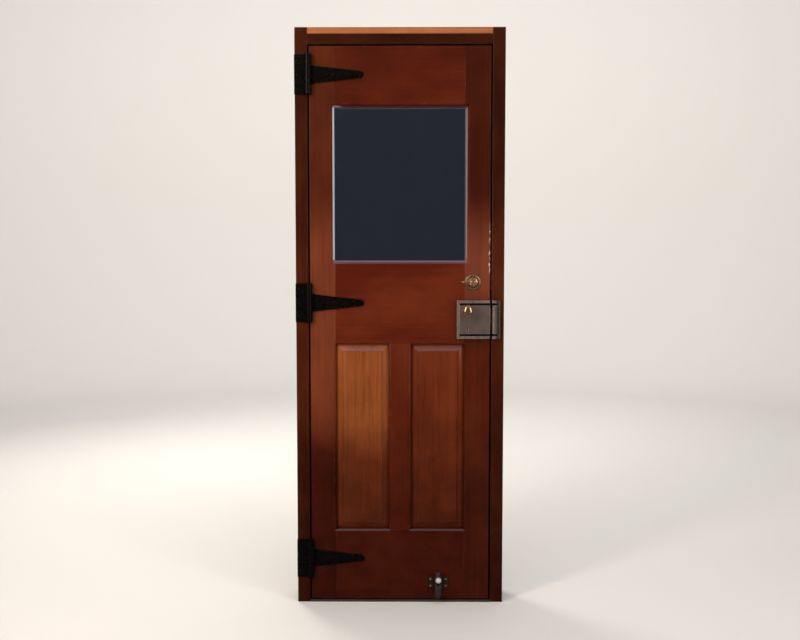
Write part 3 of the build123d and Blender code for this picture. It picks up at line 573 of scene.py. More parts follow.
def metal(name, dark=None, light=None):
    """A metal of the table: tarnish in clouds and corners, bright edges, and scratches that catch light.

    Dark and light are functions of the graph and the coordinates that draw where it is black or rubbed."""
    own, rubbed, tarnish, rough, scale, cover, wear, metallic, sheen, matt, seed = METALS[name]
    colours = bpy.context.scene.door_colours
    clean, bright = getattr(colours, own), getattr(colours, rubbed)
    made, graph, shader, place = new_material(name)
    marks = graph.group("Patina", {"Vector": place, "Scale": scale, "Seed": seed})
    dirt_and_shade = graph.group("Dirt", {"Vector": place, "Reach": 0.007, "Amount": 0.9, "Seed": seed})
    worn = graph.group("Edge wear", {"Vector": place, "Radius": 0.0016, "Amount": wear, "Seed": seed})["Mask"]
    surface = graph.lay(tinted(clean), marks["Cloud"], cover, tinted(tarnish))
    surface = graph.lay(surface, marks["Speck"], 0.35, tinted(tarnish, 0.6))
    # Tarnish in corners that little light reaches: patina and painted shade.
    surface = graph.blend(dirt_and_shade["Corners"], surface, tinted(tarnish, 0.25))
    if light:
        # The rubbed colour, also used for the painted highlight on the keeper's nose.
        surface = graph.blend(light(graph, place), surface, tinted(bright, 0.44))
    surface = graph.blend(worn, surface, tinted(bright, 1.25))
    coarse = graph.plus(rough, graph.times(marks["Cloud"], 0.18 * matt))
    coarse = graph.plus(coarse, graph.times(marks["Scratch"], 0.12 * matt))
    coarse = graph.minus(coarse, graph.times(worn, 0.08))
    if dark:
        # Grooves and recesses painted black: tarnish and painted shade.
        black = dark(graph, place)
        surface = graph.blend(black, surface, BLACK_TARNISH_AND_SHADE)
        coarse = graph.plus(coarse, graph.times(black, 0.4))
    graph.feed(shader.inputs["Base Color"], surface)
    graph.feed(shader.inputs["Roughness"], coarse)
    shader.inputs["Metallic"].default_value = metallic
    shader.inputs["Specular IOR Level"].default_value = sheen
    rise = graph.minus(graph.times(marks["Cloud"], 0.5), marks["Scratch"])
    relief(graph, shader, graph.minus(rise, marks["Speck"]), 0.00006 * matt)
    return made


def bead_paint(name, opening=None):
    """Old gloss paint: brush marks along the bead, grime in the corners and chips at the edges.

    With an opening, its left and low, and its right and high corner in x and z, the strip on the right is
    browned, the one below is dull violet, and the one above has worn to the wood but for its left end."""
    colours = bpy.context.scene.door_colours
    made, graph, shader, place = new_material(name)
    brush = graph.noise(graph.scaled(place, (260.0, 260.0, 14.0)), 3.0, detail=3.0)
    dirt_and_shade = graph.group("Dirt", {"Vector": place, "Reach": 0.008, "Amount": 0.6, "Seed": 4.0})
    worn = graph.group("Edge wear", {"Vector": place, "Radius": 0.0015, "Amount": 0.35, "Seed": 5.0})["Mask"]
    surface = graph.lay(tinted(colours.bead), brush, 0.4, tinted(colours.bead, 0.8))
    # Grime and painted shade in the corners.
    surface = graph.blend(dirt_and_shade["Corners"], surface, PAINT_GRIME_AND_SHADE)
    surface = graph.lay(surface, dirt_and_shade["Clouds"], 0.25, PAINT_CLOUD)
    surface = graph.blend(worn, surface, tinted(colours.bare_wood, 0.6))
    if opening is not None:
        (left, low), (right, high) = opening
        inner, outer = 0.009, 0.006
        side, _, height = graph.axes(place)
        # Painted shade on the right and lower strips, and painted shadow on the top strip.
        surface = graph.blend(graph.step(side, right - inner, right - outer), surface, EDGING_RIGHT_SHADE)
        surface = graph.blend(graph.step(height, low + inner, low + outer), surface, EDGING_BELOW_SHADE)
        top = graph.step(height, high - inner, high - outer)
        deep_shadow_above = graph.times(top, graph.step(side, left + 0.012, left + 0.040))
        surface = graph.lay(surface, top, 0.72, EDGING_ABOVE_SHADOW)
        surface = graph.blend(deep_shadow_above, surface, tinted(colours.red_wood, 0.5))
    graph.feed(shader.inputs["Base Color"], surface)
    graph.feed(shader.inputs["Roughness"], graph.step(brush, 0.2, 0.8, (0.3, 0.5)))
    relief(graph, shader, brush, 0.00025)
    return made


def window_glass_finish(name):
    """Tinted glass with a film of dust and faint wipe marks."""
    made, graph, shader, place = new_material(name)
    wipes = graph.noise(graph.scaled(place, (9.0, 9.0, 4.0)), 8.0, detail=6.0, roughness=0.7)
    glass = bpy.context.scene.door_colours.glass
    surface = graph.lay(tinted(glass), graph.step(wipes, 0.42, 0.75), 0.25, tinted(glass, 1.3))
    graph.feed(shader.inputs["Base Color"], surface)
    graph.feed(shader.inputs["Roughness"], graph.step(wipes, 0.35, 0.8, (0.01, 0.07)))
    shader.inputs["Transmission Weight"].default_value = 1.0
    shader.inputs["IOR"].default_value = 1.5
    return made


def dress(node, material):
    """Gives a node's own object a material."""
    for slot in frame["nodes"][node].material_slots:
        slot.material = material


# Metres within which two points are one, and degrees within which two faces are one flat face.
DOUBLES = 2e-6
FLAT_ANGLE = 0.5


def grid_faces(rows, columns, wrap):
    """Quads between the points of a grid; wrap joins the last column to the first."""
    last = columns if wrap else columns - 1
    row, column = np.meshgrid(np.arange(rows - 1), np.arange(last), indexing="ij")
    beside = (column + 1) % columns
    corners = (row * columns + column, row * columns + beside, (row + 1) * columns + beside)
    return np.stack([*corners, (row + 1) * columns + column], axis=-1).reshape(-1, 4)


def carry(name, mesh, material, body, slot, stands_for, sharp):
    """An object of a mesh that is smooth up to an angle in degrees, riding on its body."""
    mesh.shade_smooth()
    mesh.set_sharp_from_angle(angle=math.radians(sharp))
    made = bpy.data.objects.new(name, mesh)
    bpy.context.scene.collection.objects.link(made)
    made.data.materials.append(material)
    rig.ride(made, body)
    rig.slot(made, slot)
    if stands_for:
        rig.replaces(made, *stands_for)
    return made


def piece(name, points, faces, material, body, slot, stands_for=(), sharp=35.0):
    """A new piece from its points and faces: doubles are merged and faces turned outwards."""
    mesh = bpy.data.meshes.new(name)
    mesh.from_pydata(points.reshape(-1, 3), [], faces)
    shell = bmesh.new()
    shell.from_mesh(mesh)
    bmesh.ops.remove_doubles(shell, verts=shell.verts, dist=DOUBLES)
    bmesh.ops.dissolve_degenerate(shell, edges=shell.edges, dist=1e-7)
    bmesh.ops.recalc_face_normals(shell, faces=shell.faces)
    shell.to_mesh(mesh)
    shell.free()
    carry(name, mesh, material, body, slot, stands_for, sharp)


def eased_copy(node, width, material, slot, body, angle=30.0):
    """A copy of a node with its arrises rounded: triangles merged, flat faces joined, then bevelled."""
    mesh = frame["nodes"][node].data.copy()
    mesh.materials.clear()
    shell = bmesh.new()
    shell.from_mesh(mesh)
    bmesh.ops.remove_doubles(shell, verts=shell.verts, dist=DOUBLES)
    bmesh.ops.dissolve_limit(
        shell, angle_limit=math.radians(FLAT_ANGLE), verts=shell.verts, edges=shell.edges,
        use_dissolve_boundaries=False,
    )
    shell.to_mesh(mesh)
    shell.free()
    if mesh.has_custom_normals:
        mesh.attributes.remove(mesh.attributes["custom_normal"])
    made = carry(f"{node}_finished", mesh, material, body, slot, [node], angle)
    bevel = made.modifiers.new("Arris", "BEVEL")
    bevel.width = width
    bevel.segments = 2
    bevel.limit_method = "ANGLE"
    bevel.angle_limit = math.radians(angle)
    bevel.harden_normals = False


# Measures that the source's own shapes have, in metres.
FOOT_ROD_R = 0.006
FOOT_STEM_R = 0.004
FOOT_KNOB_RISE = 0.020
WINDOW_WIDER = 0.009
FIELD_INSET = 0.038
LOCK_BORDER = 0.009
LOCK_GROOVE = 0.009
STRAP_THICK = 0.005
TURN_BASE = 0.009
TURN_TIP_R = 0.003

# How far screws stand in from the sides of what they hold; on the lock plate, as a share of its half width.
PLATE_SCREW_INSET = 0.012
EDGE_SCREW_INSET = 0.0085
LOCK_SCREW_SHARE = 0.7

# The rosette, in from its radius: the width of its rim, the foot of that, painted in shadow, and the recess's far
# side.
ROSETTE_RIM = 0.0066
ROSETTE_FOOT_SHADOW = (0.0032, 0.0006)
ROSETTE_RECESS = 0.0112

# The lock's finish: depths below its face between which its grooves are painted black, tarnish and painted
# shade. On the keeper, from its nose: the band of painted highlight, with some rubbing, where it and the
# rubbed border dull, and where grime begins, with how black the grime is.
GROOVE_DEPTHS = (0.0022, 0.0040)
KEEPER_HIGHLIGHT_BAND = (-0.001, 0.009)
KEEPER_DULLED = (0.019, 0.012)
KEEPER_GRIME = 0.015
GRIME_STRENGTH = 0.72

# Points round a turned piece.
ROUND = 96

# Angle in degrees past which an edge of metal is rounded.
METAL_ANGLE = 40.0

# Where the lock stile's inner arris has chipped, with painted light from the door's gap drawn as pale bare wood: its x
# and y, and the lowest and highest height.
STILE_CHIPS_AND_GAP_LIGHT = (0.320, -0.065, 1.198, 1.360)

# Heights between which the hinge side's boards turn from a painted shadow below to their gold above,
# a painted pool of lamp light.
PAINTED_SHADOW_HEIGHTS = (0.50, 0.70)
PAINTED_SHADOW_BOARDS = ("panel_hinge_side", "stile_hinge_side")

# Where the stiles are paled by painted light over their middle heights: lowest and highest height, and how far.
PAINTED_LIGHT_ZONES = {"stile_hinge_side": (0.66, 1.38, 0.105), "stile_lock_side": (1.06, 1.36, 0.18)}

# Boards of the leaf. Columns: node, grain axis, share of gold, brightness, pith from the board's middle
# across and behind its face in metres, seed. The hinge side's panel's high share of gold is largely a painted
# pool of lamp light, and the bottom rail's low brightness is painted shade.
LEAF_BOARDS = [
    ("stile_hinge_side", "Z", 0.12, 0.79, -0.11, 0.03, 1.3),
    ("stile_lock_side", "Z", 0.06, 0.58, 0.13, 0.02, 7.9),
    ("rail_top", "X", 0.02, 0.96, 0.02, 0.16, 12.4),
    ("rail_lock", "X", 0.03, 0.84, -0.05, 0.12, 19.2),
    ("rail_bottom", "X", 0.00, 0.64, 0.03, 0.20, 23.8),
    ("muntin", "Z", 0.05, 0.78, 0.09, 0.03, 31.5),
    ("panel_hinge_side", "Z", 0.62, 1.12, 0.015, 0.09, 38.1),
    ("panel_lock_side", "Z", 0.13, 0.88, -0.02, 0.11, 44.6),
]

# Boards of the frame. Columns as above, without the share of gold.
FRAME_BOARDS = [
    ("casing_inner_hinge_side", "Z", 0.86, 0.07, 0.02, 2.2),
    ("casing_inner_lock_side", "Z", 0.80, -0.06, 0.03, 5.1),
    ("casing_inner_head", "X", 0.66, 0.01, 0.08, 9.7),
    ("casing_outer_hinge_side", "Z", 1.00, 0.05, -0.04, 14.9),
    ("casing_outer_lock_side", "Z", 1.00, -0.08, -0.03, 17.3),
    ("casing_outer_head", "X", 1.00, 0.02, -0.09, 21.6),
    ("head_jamb", "X", 0.85, 0.03, 0.05, 26.4),
    ("jamb_hinge_side", "Z", 0.90, 0.06, 0.04, 29.9),
    ("jamb_lock_side", "Z", 0.90, -0.05, 0.05, 33.0),
    ("stop_head", "X", 0.95, 0.02, 0.05, 35.2),
    ("stop_hinge_side", "Z", 0.95, 0.04, 0.04, 41.7),
    ("stop_lock_side", "Z", 0.95, -0.04, 0.04, 47.3),
]
PLAIN_BOARDS = ("jamb_hinge_side", "jamb_lock_side")


def pith_of(node, along, across, behind):
    """The pith's place in turned coordinates: beside the board's middle, and behind its inner face."""
    low, high = span(node)
    axis = 0 if along == "Z" else 2
    return ((low[axis] + high[axis]) / 2 + across, low[1] + behind, 0.0)


def finish_leaf_boards():
    """Finish the leaf's stiles, rails, muntin and panels, each varnished with its own grain"""
    colours, sizes = bpy.context.scene.door_colours, bpy.context.scene.door_sizes
    for node, along, gold, brightness, across, behind, seed in LEAF_BOARDS:
        low, high = span(node)
        panel = node.startswith("panel")
        finish = wood(
            f"{node}_varnish", along, between(colours.red_wood, colours.gold_wood, gold), brightness,
            pith_of(node, along, across, behind), seed,
            chips_and_gap_light=STILE_CHIPS_AND_GAP_LIGHT if node == "stile_lock_side" else None,
            field=(low + FIELD_INSET, high - FIELD_INSET) if panel else None,
            fade=PAINTED_SHADOW_HEIGHTS if node in PAINTED_SHADOW_BOARDS else None,
            pale=PAINTED_LIGHT_ZONES.get(node),
        )
        eased_copy(node, sizes.mould_arris, finish, "panel_wood" if panel else "leaf_wood", "leaf")


def finish_frame_boards():
    """Finish jambs, stops and casings in darker wood, and the light board above the head"""
    colours, sizes = bpy.context.scene.door_colours, bpy.context.scene.door_sizes
    for node, along, brightness, across, behind, seed in FRAME_BOARDS:
        casing = node.startswith("casing")
        # Casings take dark corners of dirt and painted shade, the other boards only faint ones.
        base, darkness = (colours.casing_wood, 0.85) if casing else (colours.red_wood, 0.15)
        pith = pith_of(node, along, across, behind)
        finish = wood(f"{node}_varnish", along, base, brightness, pith, seed, gloss=0.20, darkness=darkness)
        if node in PLAIN_BOARDS:
            dress(node, finish)
        else:
            eased_copy(node, sizes.wood_arris, finish, "frame_wood", "frame")
    pith = pith_of("filler_board", "X", 0.01, 0.07)
    finish = wood("filler_board_varnish", "X", colours.pine, 1.05, pith, 51.0, gloss=0.20)
    eased_copy("filler_board", sizes.wood_arris, finish, "pine", "frame")


def finish_window():
    """Make the glass, drawn in old wavy sheet, the painted beads that hold it and the pale edging inside"""
    sizes = bpy.context.scene.door_sizes
    low, high = span("window_glass")
    pane("window_pane", low, high, sizes.glass_wave)
    paint = bead_paint("bead_gloss_paint")
    for side in ("top", "bottom", "hinge_side", "lock_side"):
        eased_copy(f"bead_{side}", sizes.wood_arris, paint, "bead_paint", "leaf")
    opening = np.array([
        (span("stile_hinge_side")[1][0] - WINDOW_WIDER, span("rail_lock")[1][2]),
        (span("stile_lock_side")[0][0] + WINDOW_WIDER, span("rail_top")[0][2]),
    ])
    edging("window_edging", opening, low[1], sizes.edging, bead_paint("edging_gloss_paint", opening))


def edging(name, opening, seat, width, material):
    """A strip round an opening, mitred at its corners, seated on the glass.

    Its section is a quarter circle: at the angle a it lies width * (1 - cos a) in from the opening's side
    and width * (1 - sin a) above the glass, and its two flat sides close it."""
    angle = np.linspace(0, math.pi / 2, 9)
    inset = np.append(width * (1 - np.cos(angle)), 0.0)[::-1]
    proud = np.append(0.0, width * (1 - np.sin(angle))[::-1])
    (left, low), (right, high) = opening
    corners = np.array([(left, low, 1, 1), (right, low, -1, 1), (right, high, -1, -1), (left, high, 1, -1)])
    x = corners[:, None, 0] + corners[:, None, 2] * inset[None]
    z = corners[:, None, 1] + corners[:, None, 3] * inset[None]
    ring = np.stack([x, np.broadcast_to(seat - proud, x.shape), z], axis=-1)
    points = np.concatenate([ring, ring[:1]])
    piece(name, points, grid_faces(*points.shape[:2], True), material, "leaf", "bead_paint")


def pane(name, low, high, wave):
    """A sheet of glass, closed at its rim.

    Each face lies in from the box's own by wave * (half of 1 + a sum of three slow sines in x and z), which
    fades to nothing at the rim."""
    columns, rows = 72, 84
    across, up = np.meshgrid(np.linspace(0, 1, columns), np.linspace(0, 1, rows))
    x = low[0] + (high[0] - low[0]) * across
    z = low[2] + (high[2] - low[2]) * up
    ripple = np.sin(31 * x + 9 * np.sin(5 * z)) + 0.7 * np.sin(43 * z + 4 * x) + 0.5 * np.sin(17 * (x + z))
    fade = np.clip(8 * np.minimum.reduce([across, 1 - across, up, 1 - up]), 0, 1)
    swell = wave * fade * (1 + ripple / 2.2) / 2
    points = np.stack([np.stack([x, y, z], axis=-1) for y in (low[1] + swell, high[1] - swell)])
    sheets = grid_faces(rows, columns, False)
    rim = np.concatenate([
        np.arange(columns), columns - 1 + columns * np.arange(1, rows),
        rows * columns - 2 - np.arange(columns - 1), columns * np.arange(rows - 2, 0, -1),
    ])
    beside = np.roll(rim, -1)
    walls = np.stack([rim, beside, beside + rows * columns, rim + rows * columns], axis=-1)
    quads = np.concatenate([sheets, sheets[:, ::-1] + rows * columns, walls])
    piece(name, points, quads, window_glass_finish("drawn_glass"), "leaf", "glass", ["window_glass"])


def screws(name, centres, diameter, facing, material, body, slot, turns):
    """Domed, slotted screw heads.

    Each is a lens over (s, t): x = s * sqrt(1 - t^2) and y = t, times the radius, with a crown
    h * (1 - r^2)^0.6 that drops to the slot's floor where |t| is under the slot's half width."""
    slot_half, floor, crown_rise = 0.13, 0.30, 0.36
    inner = np.array([-slot_half - 0.02, -slot_half, slot_half, slot_half + 0.02])
    quarter = np.sin(np.linspace(0.2, math.pi / 2, 12))
    t = np.concatenate([-quarter[::-1], inner, quarter])
    s = np.sin(np.linspace(-math.pi / 2, math.pi / 2, 21))
    across, up = np.meshgrid(s, t)
    x, y = across * np.sqrt(1 - np.clip(up, -1, 1) ** 2), up
    crown = np.clip(1 - x**2 - y**2, 0, 1) ** 0.6
    slotted = np.where(np.abs(up) <= slot_half + 1e-6, np.minimum(crown, floor), crown)
    heights = (slotted * crown_rise, np.minimum(-0.02 * crown, 0))
    head = np.concatenate([np.stack([x, y, height], axis=-1) for height in heights]).reshape(-1, 3)
    faces = grid_faces(*across.shape, False)
    faces = np.concatenate([faces, faces[:, ::-1] + across.size])
    beside = np.cross(UP, facing)
    points = []
    for centre, turn in zip(centres, turns):
        first = math.cos(turn) * beside + math.sin(turn) * UP
        second = -math.sin(turn) * beside + math.cos(turn) * UP
        points.append(head @ (np.stack([first, second, facing]) * diameter / 2) + np.array(centre))
    faces = np.concatenate([faces + index * len(head) for index in range(len(points))])
    piece(name, np.concatenate(points), faces, material, body, slot, sharp=40.0)


def smoothed(corners, rounds=3):
    """A profile with its corners cut: each edge gives points at a quarter and three quarters of it."""
    points = np.array(corners, float)
    for _ in range(rounds):
        first, second = points[:-1], points[1:]
        cut = np.stack([0.75 * first + 0.25 * second, 0.25 * first + 0.75 * second], axis=1)
        points = np.concatenate([points[:1], cut.reshape(-1, points.shape[1]), points[-1:]])
    return points


def turned(name, seat, out, profile, material, slot, stands_for, sharp=40.0):
    """A turned piece: a profile of radii and height above its seat, carried round the axis that leaves it.

    The first radius is taken along X and the second across it, so each turn is a circle or an oval."""
    angle = np.linspace(0, 2 * math.pi, ROUND, endpoint=False)
    across = OUTSIDE if out[2] else UP
    side = profile[:, :1] * np.cos(angle)
    rise = profile[:, -2:-1] * np.sin(angle)
    height = np.broadcast_to(profile[:, -1:], side.shape)
    points = seat + side[..., None] * RIGHT + rise[..., None] * across + height[..., None] * out
    piece(name, points, grid_faces(*side.shape, True), material, "leaf", slot, stands_for, sharp)


def seating(node, facing):
    """Where a node sits on the leaf's inner or outer face: its seat, half width, half height and reach."""
    low, high = span(node)
    seat = (low + high) / 2
    seat[1] = high[1] if facing[1] < 0 else low[1]
    wide, reach, tall = high - low
    return seat, wide / 2, tall / 2, reach


def finish_hinges():
    """Finish the T-hinges in black paint, with domed screws in the straps and plates"""
    sizes = bpy.context.scene.door_sizes
    paint = metal("hinge_black")
    for place in ("top", "middle", "bottom"):
        strap, plate, pin = f"hinge_strap_{place}", f"hinge_plate_{place}", f"hinge_pin_{place}"
        for node, body in ((strap, "leaf"), (plate, "frame"), (pin, "frame")):
            eased_copy(node, sizes.metal_arris, paint, "black_iron", body, METAL_ANGLE)
        axis = middle(pin)
        front = span(strap)[1][1] - STRAP_THICK
        reaches = (sizes.strap_screw_near, sizes.strap_screw_far)
        centres = [(axis[0] + reach, front, axis[2]) for reach in reaches]
        turns = (0.6, 2.1)
        screws(f"{strap}_screws", centres, sizes.strap_screw, INSIDE, paint, "leaf", "black_iron", turns)
        edge = span(plate)[0][0] + PLATE_SCREW_INSET
        centres = [(edge, front, axis[2] + step * sizes.plate_screw_pitch) for step in (-1, 0, 1)]
        turns = (0.3, 1.2, 2.4)
        screws(f"{plate}_screws", centres, sizes.plate_screw, INSIDE, paint, "frame", "black_iron", turns)


def lock_lines(graph, place):
    """What the lock's masks measure.

    These are x, y and the height off its middle line; the inner line of its border above and on the left;
    its face; and the keeper's nose and outer side."""
    (left, face, foot), (_, _, head) = span("lock_case")
    side, depth, height = graph.axes(place)
    off = graph.math("ABSOLUTE", graph.minus(height, (foot + head) / 2))
    keeper_low, keeper_high = span("lock_keeper")
    keeper = keeper_low[0], keeper_high[0]
    return side, depth, off, (head - foot) / 2 - LOCK_BORDER, left + LOCK_BORDER, face, keeper


def groove_mask(graph, place):
    """The lock's two grooves, inside its border and below its face, and the grime on its keeper."""
    side, depth, off, border, left, face, (nose, outer) = lock_lines(graph, place)
    right = outer - LOCK_BORDER
    groove = graph.band(off, border - LOCK_GROOVE, border)
    groove = graph.times(groove, graph.step(side, left - 0.001, left))
    groove = graph.times(groove, graph.step(side, right + 0.001, right))
    sunk = graph.step(depth, *(face + deep for deep in GROOVE_DEPTHS))
    darkness = graph.band(side, nose + KEEPER_GRIME, outer - 0.002, 0.002)
    return graph.most(graph.times(groove, sunk), graph.times(darkness, GRIME_STRENGTH))


def border_mask(graph, place):
    """The lock's border, which hands have rubbed: above and below its grooves, and on the leaf's side."""
    side, _, off, border, left, _, (nose, _) = lock_lines(graph, place)
    edge = graph.step(off, border, border + 0.0005)
    edge = graph.most(edge, graph.step(side, left, left - 0.0005))
    edge = graph.most(edge, graph.band(side, *(nose + reach for reach in KEEPER_HIGHLIGHT_BAND), 0.002))
    edge = graph.times(edge, graph.step(side, *(nose + reach for reach in KEEPER_DULLED), (0.15, 1.0)))
    return graph.times(edge, graph.step(graph.noise(place, 2.0, scale=55.0, detail=4.0), 0.25, 0.62))


def finish_lock():
    """Finish the rim lock, its bolts and its keeper in aged bronze"""
    arris = bpy.context.scene.door_sizes.metal_arris
    bronze = metal("lock_bronze_aged", groove_mask, border_mask)
    steel = metal("bolt_steel_worn")
    for node, body in (("lock_case", "leaf"), ("lock_keeper", "frame")):
        eased_copy(node, arris, bronze, "lock_bronze", body, METAL_ANGLE)
    for node in ("latch_bolt", "lock_bolt", "deadbolt_nose"):
        eased_copy(node, arris * 2, steel, "bolt_steel", "leaf")


def finish_knobs():
    """Make the oval inner knob, and outside the round knob and its long plate, all in brass"""
    sizes = bpy.context.scene.door_sizes
    brass = metal("knob_brass")
    seat, wide, tall, reach = seating("knob_inner", INSIDE)
    foot = [(0.0, 0.0), (0.0140, 0.0), (0.0140, 0.0), (0.0140, 0.0035), (0.0130, 0.0045), (0.0100, 0.0050),
            (0.0080, 0.0090), (0.0076, 0.0150), (0.0085, 0.0195)]
    head = [(0.60, 0.0200), (0.90, 0.0222), (1.03, 0.0270), (1.02, 0.0315), (0.90, 0.0358),
            (0.66, reach - 0.0012), (0.36, reach), (0.0, reach)]
    profile = [(r, r, rise) for r, rise in foot] + [(part * wide, part * tall, rise) for part, rise in head]
    turned("knob_inner_oval", seat, INSIDE, smoothed(profile), brass, "brass", ["knob_inner"])
    seat, radius, _, reach = seating("knob_outer", OUTSIDE)
    profile = smoothed([
        (0.0, 0.0), (0.018, 0.0), (0.018, 0.0), (0.018, 0.003), (0.0165, 0.0042), (0.0165, 0.0042),
        (0.0150, 0.0046), (0.0105, 0.0062), (0.0082, 0.0105), (0.0080, 0.0150), (0.0095, 0.0195),
        (0.0095, 0.0195), (0.0170, 0.0215), (0.0235, 0.0265), (radius + 0.0004, 0.0350),
        (radius - 0.0006, 0.0420), (0.0215, 0.0475), (0.0190, 0.0490), (0.0190, 0.0490), (0.0180, 0.0482),
        (0.0180, 0.0482), (0.0170, 0.0492), (0.0120, 0.0525), (0.0060, reach), (0.0, reach),
    ])
    turned("knob_outer_turned", seat, OUTSIDE, profile, brass, "brass", ["knob_outer"])
    eased_copy("lock_plate_outer", sizes.metal_arris, brass, "brass", "leaf", METAL_ANGLE)
    low, high = span("lock_plate_outer")
    middle_x, inset = (low[0] + high[0]) / 2, LOCK_SCREW_SHARE * (high[0] - low[0]) / 2
    centres = [(middle_x, high[1], z) for z in (low[2] + inset, high[2] - inset)]
    screws("lock_plate_screws", centres, sizes.lock_screw, OUTSIDE, brass, "leaf", "brass", (0.4, 1.9))


def thumb_turn(name, seat, measures, material):
    """The teardrop turn: a height over polar coordinates (a, s) about its boss.

    The outline's reach R(a) is the boss's radius, or where the two tangents to the tip lie farther, theirs.
    At s * R the top stands at the grip's top less a round edge, (1 - s^12)^0.5, and has a ring sunk in it
    near the middle with a low pin inside."""
    boss, tip, reach, base, top = measures
    ring, ring_wide, ring_deep = 0.0082, 0.0011, 0.0022
    pin, pin_rise, pin_sunk = 0.0062, 0.0006, 0.0012
    edge_drop, crown = 0.0028, 0.0010
    angle = np.linspace(0, 2 * math.pi, 181, endpoint=False)
    angle = angle + 0.25 * np.sin(2 * angle)
    spine = reach - tip
    lean = math.acos((boss - tip) / spine)
    off = np.abs(angle % (2 * math.pi) - math.pi)
    tangent = boss / np.maximum(np.cos(off - lean), 1e-3)
    round_tip = spine * np.cos(off) + np.sqrt(np.maximum(tip**2 - (spine * np.sin(off)) ** 2, 0.0))
    touch = math.atan2(tip * math.sin(lean), spine + tip * math.cos(lean))
    outline = np.where(off > lean, boss, np.where(off > touch, tangent, round_tip))
    shares = np.concatenate([np.sin(np.linspace(math.pi / 2, 0.25, 14)), np.linspace(0.22, 0.0, 8)])
    radius = shares[:, None] * outline
    edge = np.sqrt(np.clip(1 - shares**12, 0, 1))[:, None]
    height = top - edge_drop * (1 - edge) - crown * shares[:, None] ** 2
    groove = np.exp(-(((radius - ring) / ring_wide) ** 2))
    dome = np.clip(1 - (radius / pin) ** 2, 0, 1) ** 0.5
    height = height - ring_deep * groove + pin_rise * dome - pin_sunk * (radius < ring)
    height[-1] = height[-1].mean()
    foot = [(0.0, 0.0), (boss, 0.0), (boss, base)]
    below = [*foot, (outline * 0.985, base + 0.0002), (outline, base + 0.0010)]
    radius = np.concatenate([np.stack([np.broadcast_to(r, angle.shape) for r, _ in below]), radius])
    height = np.concatenate([np.stack([np.full(angle.shape, h) for _, h in below]), height])
    x = seat[0] + radius * np.cos(angle)
    z = seat[2] + radius * np.sin(angle)
    points = np.stack([x, seat[1] - height, z], axis=-1)
    piece(name, points, grid_faces(*radius.shape, True), material, "leaf", "brass", ["deadbolt_turn"], 32.0)


def ring_mask(graph, place):
    """What has darkened on the deadbolt's rosette: the recess inside its ring and the foot of its rim."""
    low, high = span("deadbolt_rosette")
    side, depth, height = graph.axes(place)
    across = graph.minus(side, (low[0] + high[0]) / 2)
    up = graph.minus(height, (low[2] + high[2]) / 2)
    away = graph.math("SQRT", graph.plus(graph.times(across, across), graph.times(up, up)))
    radius = (high[0] - low[0]) / 2
    recess = graph.times(graph.band(away, radius - ROSETTE_RECESS, radius - ROSETTE_RIM, 0.0006), 0.70)
    dark = graph.most(recess, graph.step(away, *(radius - part for part in ROSETTE_FOOT_SHADOW), (0.0, 0.60)))
    return graph.times(dark, graph.step(depth, low[1] - 0.0004, low[1] + 0.0004))


def finish_deadbolt():
    """Make the deadbolt: rosette and teardrop turn inside, cylinder outside, plates on the two edges"""
    sizes = bpy.context.scene.door_sizes
    brass = metal("deadbolt_brass", ring_mask)
    plates = metal("deadbolt_plate_brass")
    seat, radius, _, rise = seating("deadbolt_rosette", INSIDE)
    rim = radius - ROSETTE_RIM
    profile = smoothed([
        (0.0, 0.0), (radius, 0.0), (radius, 0.0), (radius, 0.0018), (radius - 0.0008, 0.0040),
        (radius - 0.0032, rise), (radius - 0.0058, 0.0046), (rim, 0.0022), (rim, 0.0022),
        (radius - 0.0092, 0.0018), (radius - 0.0092, 0.0018), (radius - 0.0100, 0.0036),
        (0.0165, 0.0042), (0.0150, 0.0036), (0.0150, 0.0036), (0.0140, 0.0040), (0.0, 0.0040),
    ])
    turned("deadbolt_rosette_ringed", seat, INSIDE, profile, brass, "brass", ["deadbolt_rosette"])
    (left, front, foot), (right, back, head) = span("deadbolt_turn")
    boss = (head - foot) / 2
    measures = (boss, TURN_TIP_R, right - left - boss, TURN_BASE, back - front)
    thumb_turn("deadbolt_turn_teardrop", (seat[0], back, seat[2]), measures, brass)
    seat, radius, _, rise = seating("deadbolt_cylinder", OUTSIDE)
    profile = smoothed([
        (0.0, 0.0), (radius, 0.0), (radius, 0.0), (radius, 0.0040), (radius - 0.0010, rise),
        (radius - 0.0035, rise), (radius - 0.0045, rise - 0.0012), (radius - 0.0045, rise - 0.0012),
        (0.0085, rise - 0.0012), (0.0085, rise - 0.0012), (0.0080, rise - 0.0004), (0.0, rise - 0.0004),
    ])
    turned("deadbolt_cylinder_turned", seat, OUTSIDE, profile, plates, "brass", ["deadbolt_cylinder"])
    for node, body, facing in (("deadbolt_faceplate", "leaf", RIGHT), ("deadbolt_strike", "frame", -RIGHT)):
        eased_copy(node, sizes.metal_arris, plates, "brass", body, METAL_ANGLE)
        low, high = span(node)
        x, y = (high[0] if facing[0] > 0 else low[0]), (low[1] + high[1]) / 2
        centres = [(x, y, z) for z in (low[2] + EDGE_SCREW_INSET, high[2] - EDGE_SCREW_INSET)]
        screws(f"{node}_screws", centres, sizes.edge_screw, facing, plates, body, "brass", (0.5, 1.7))


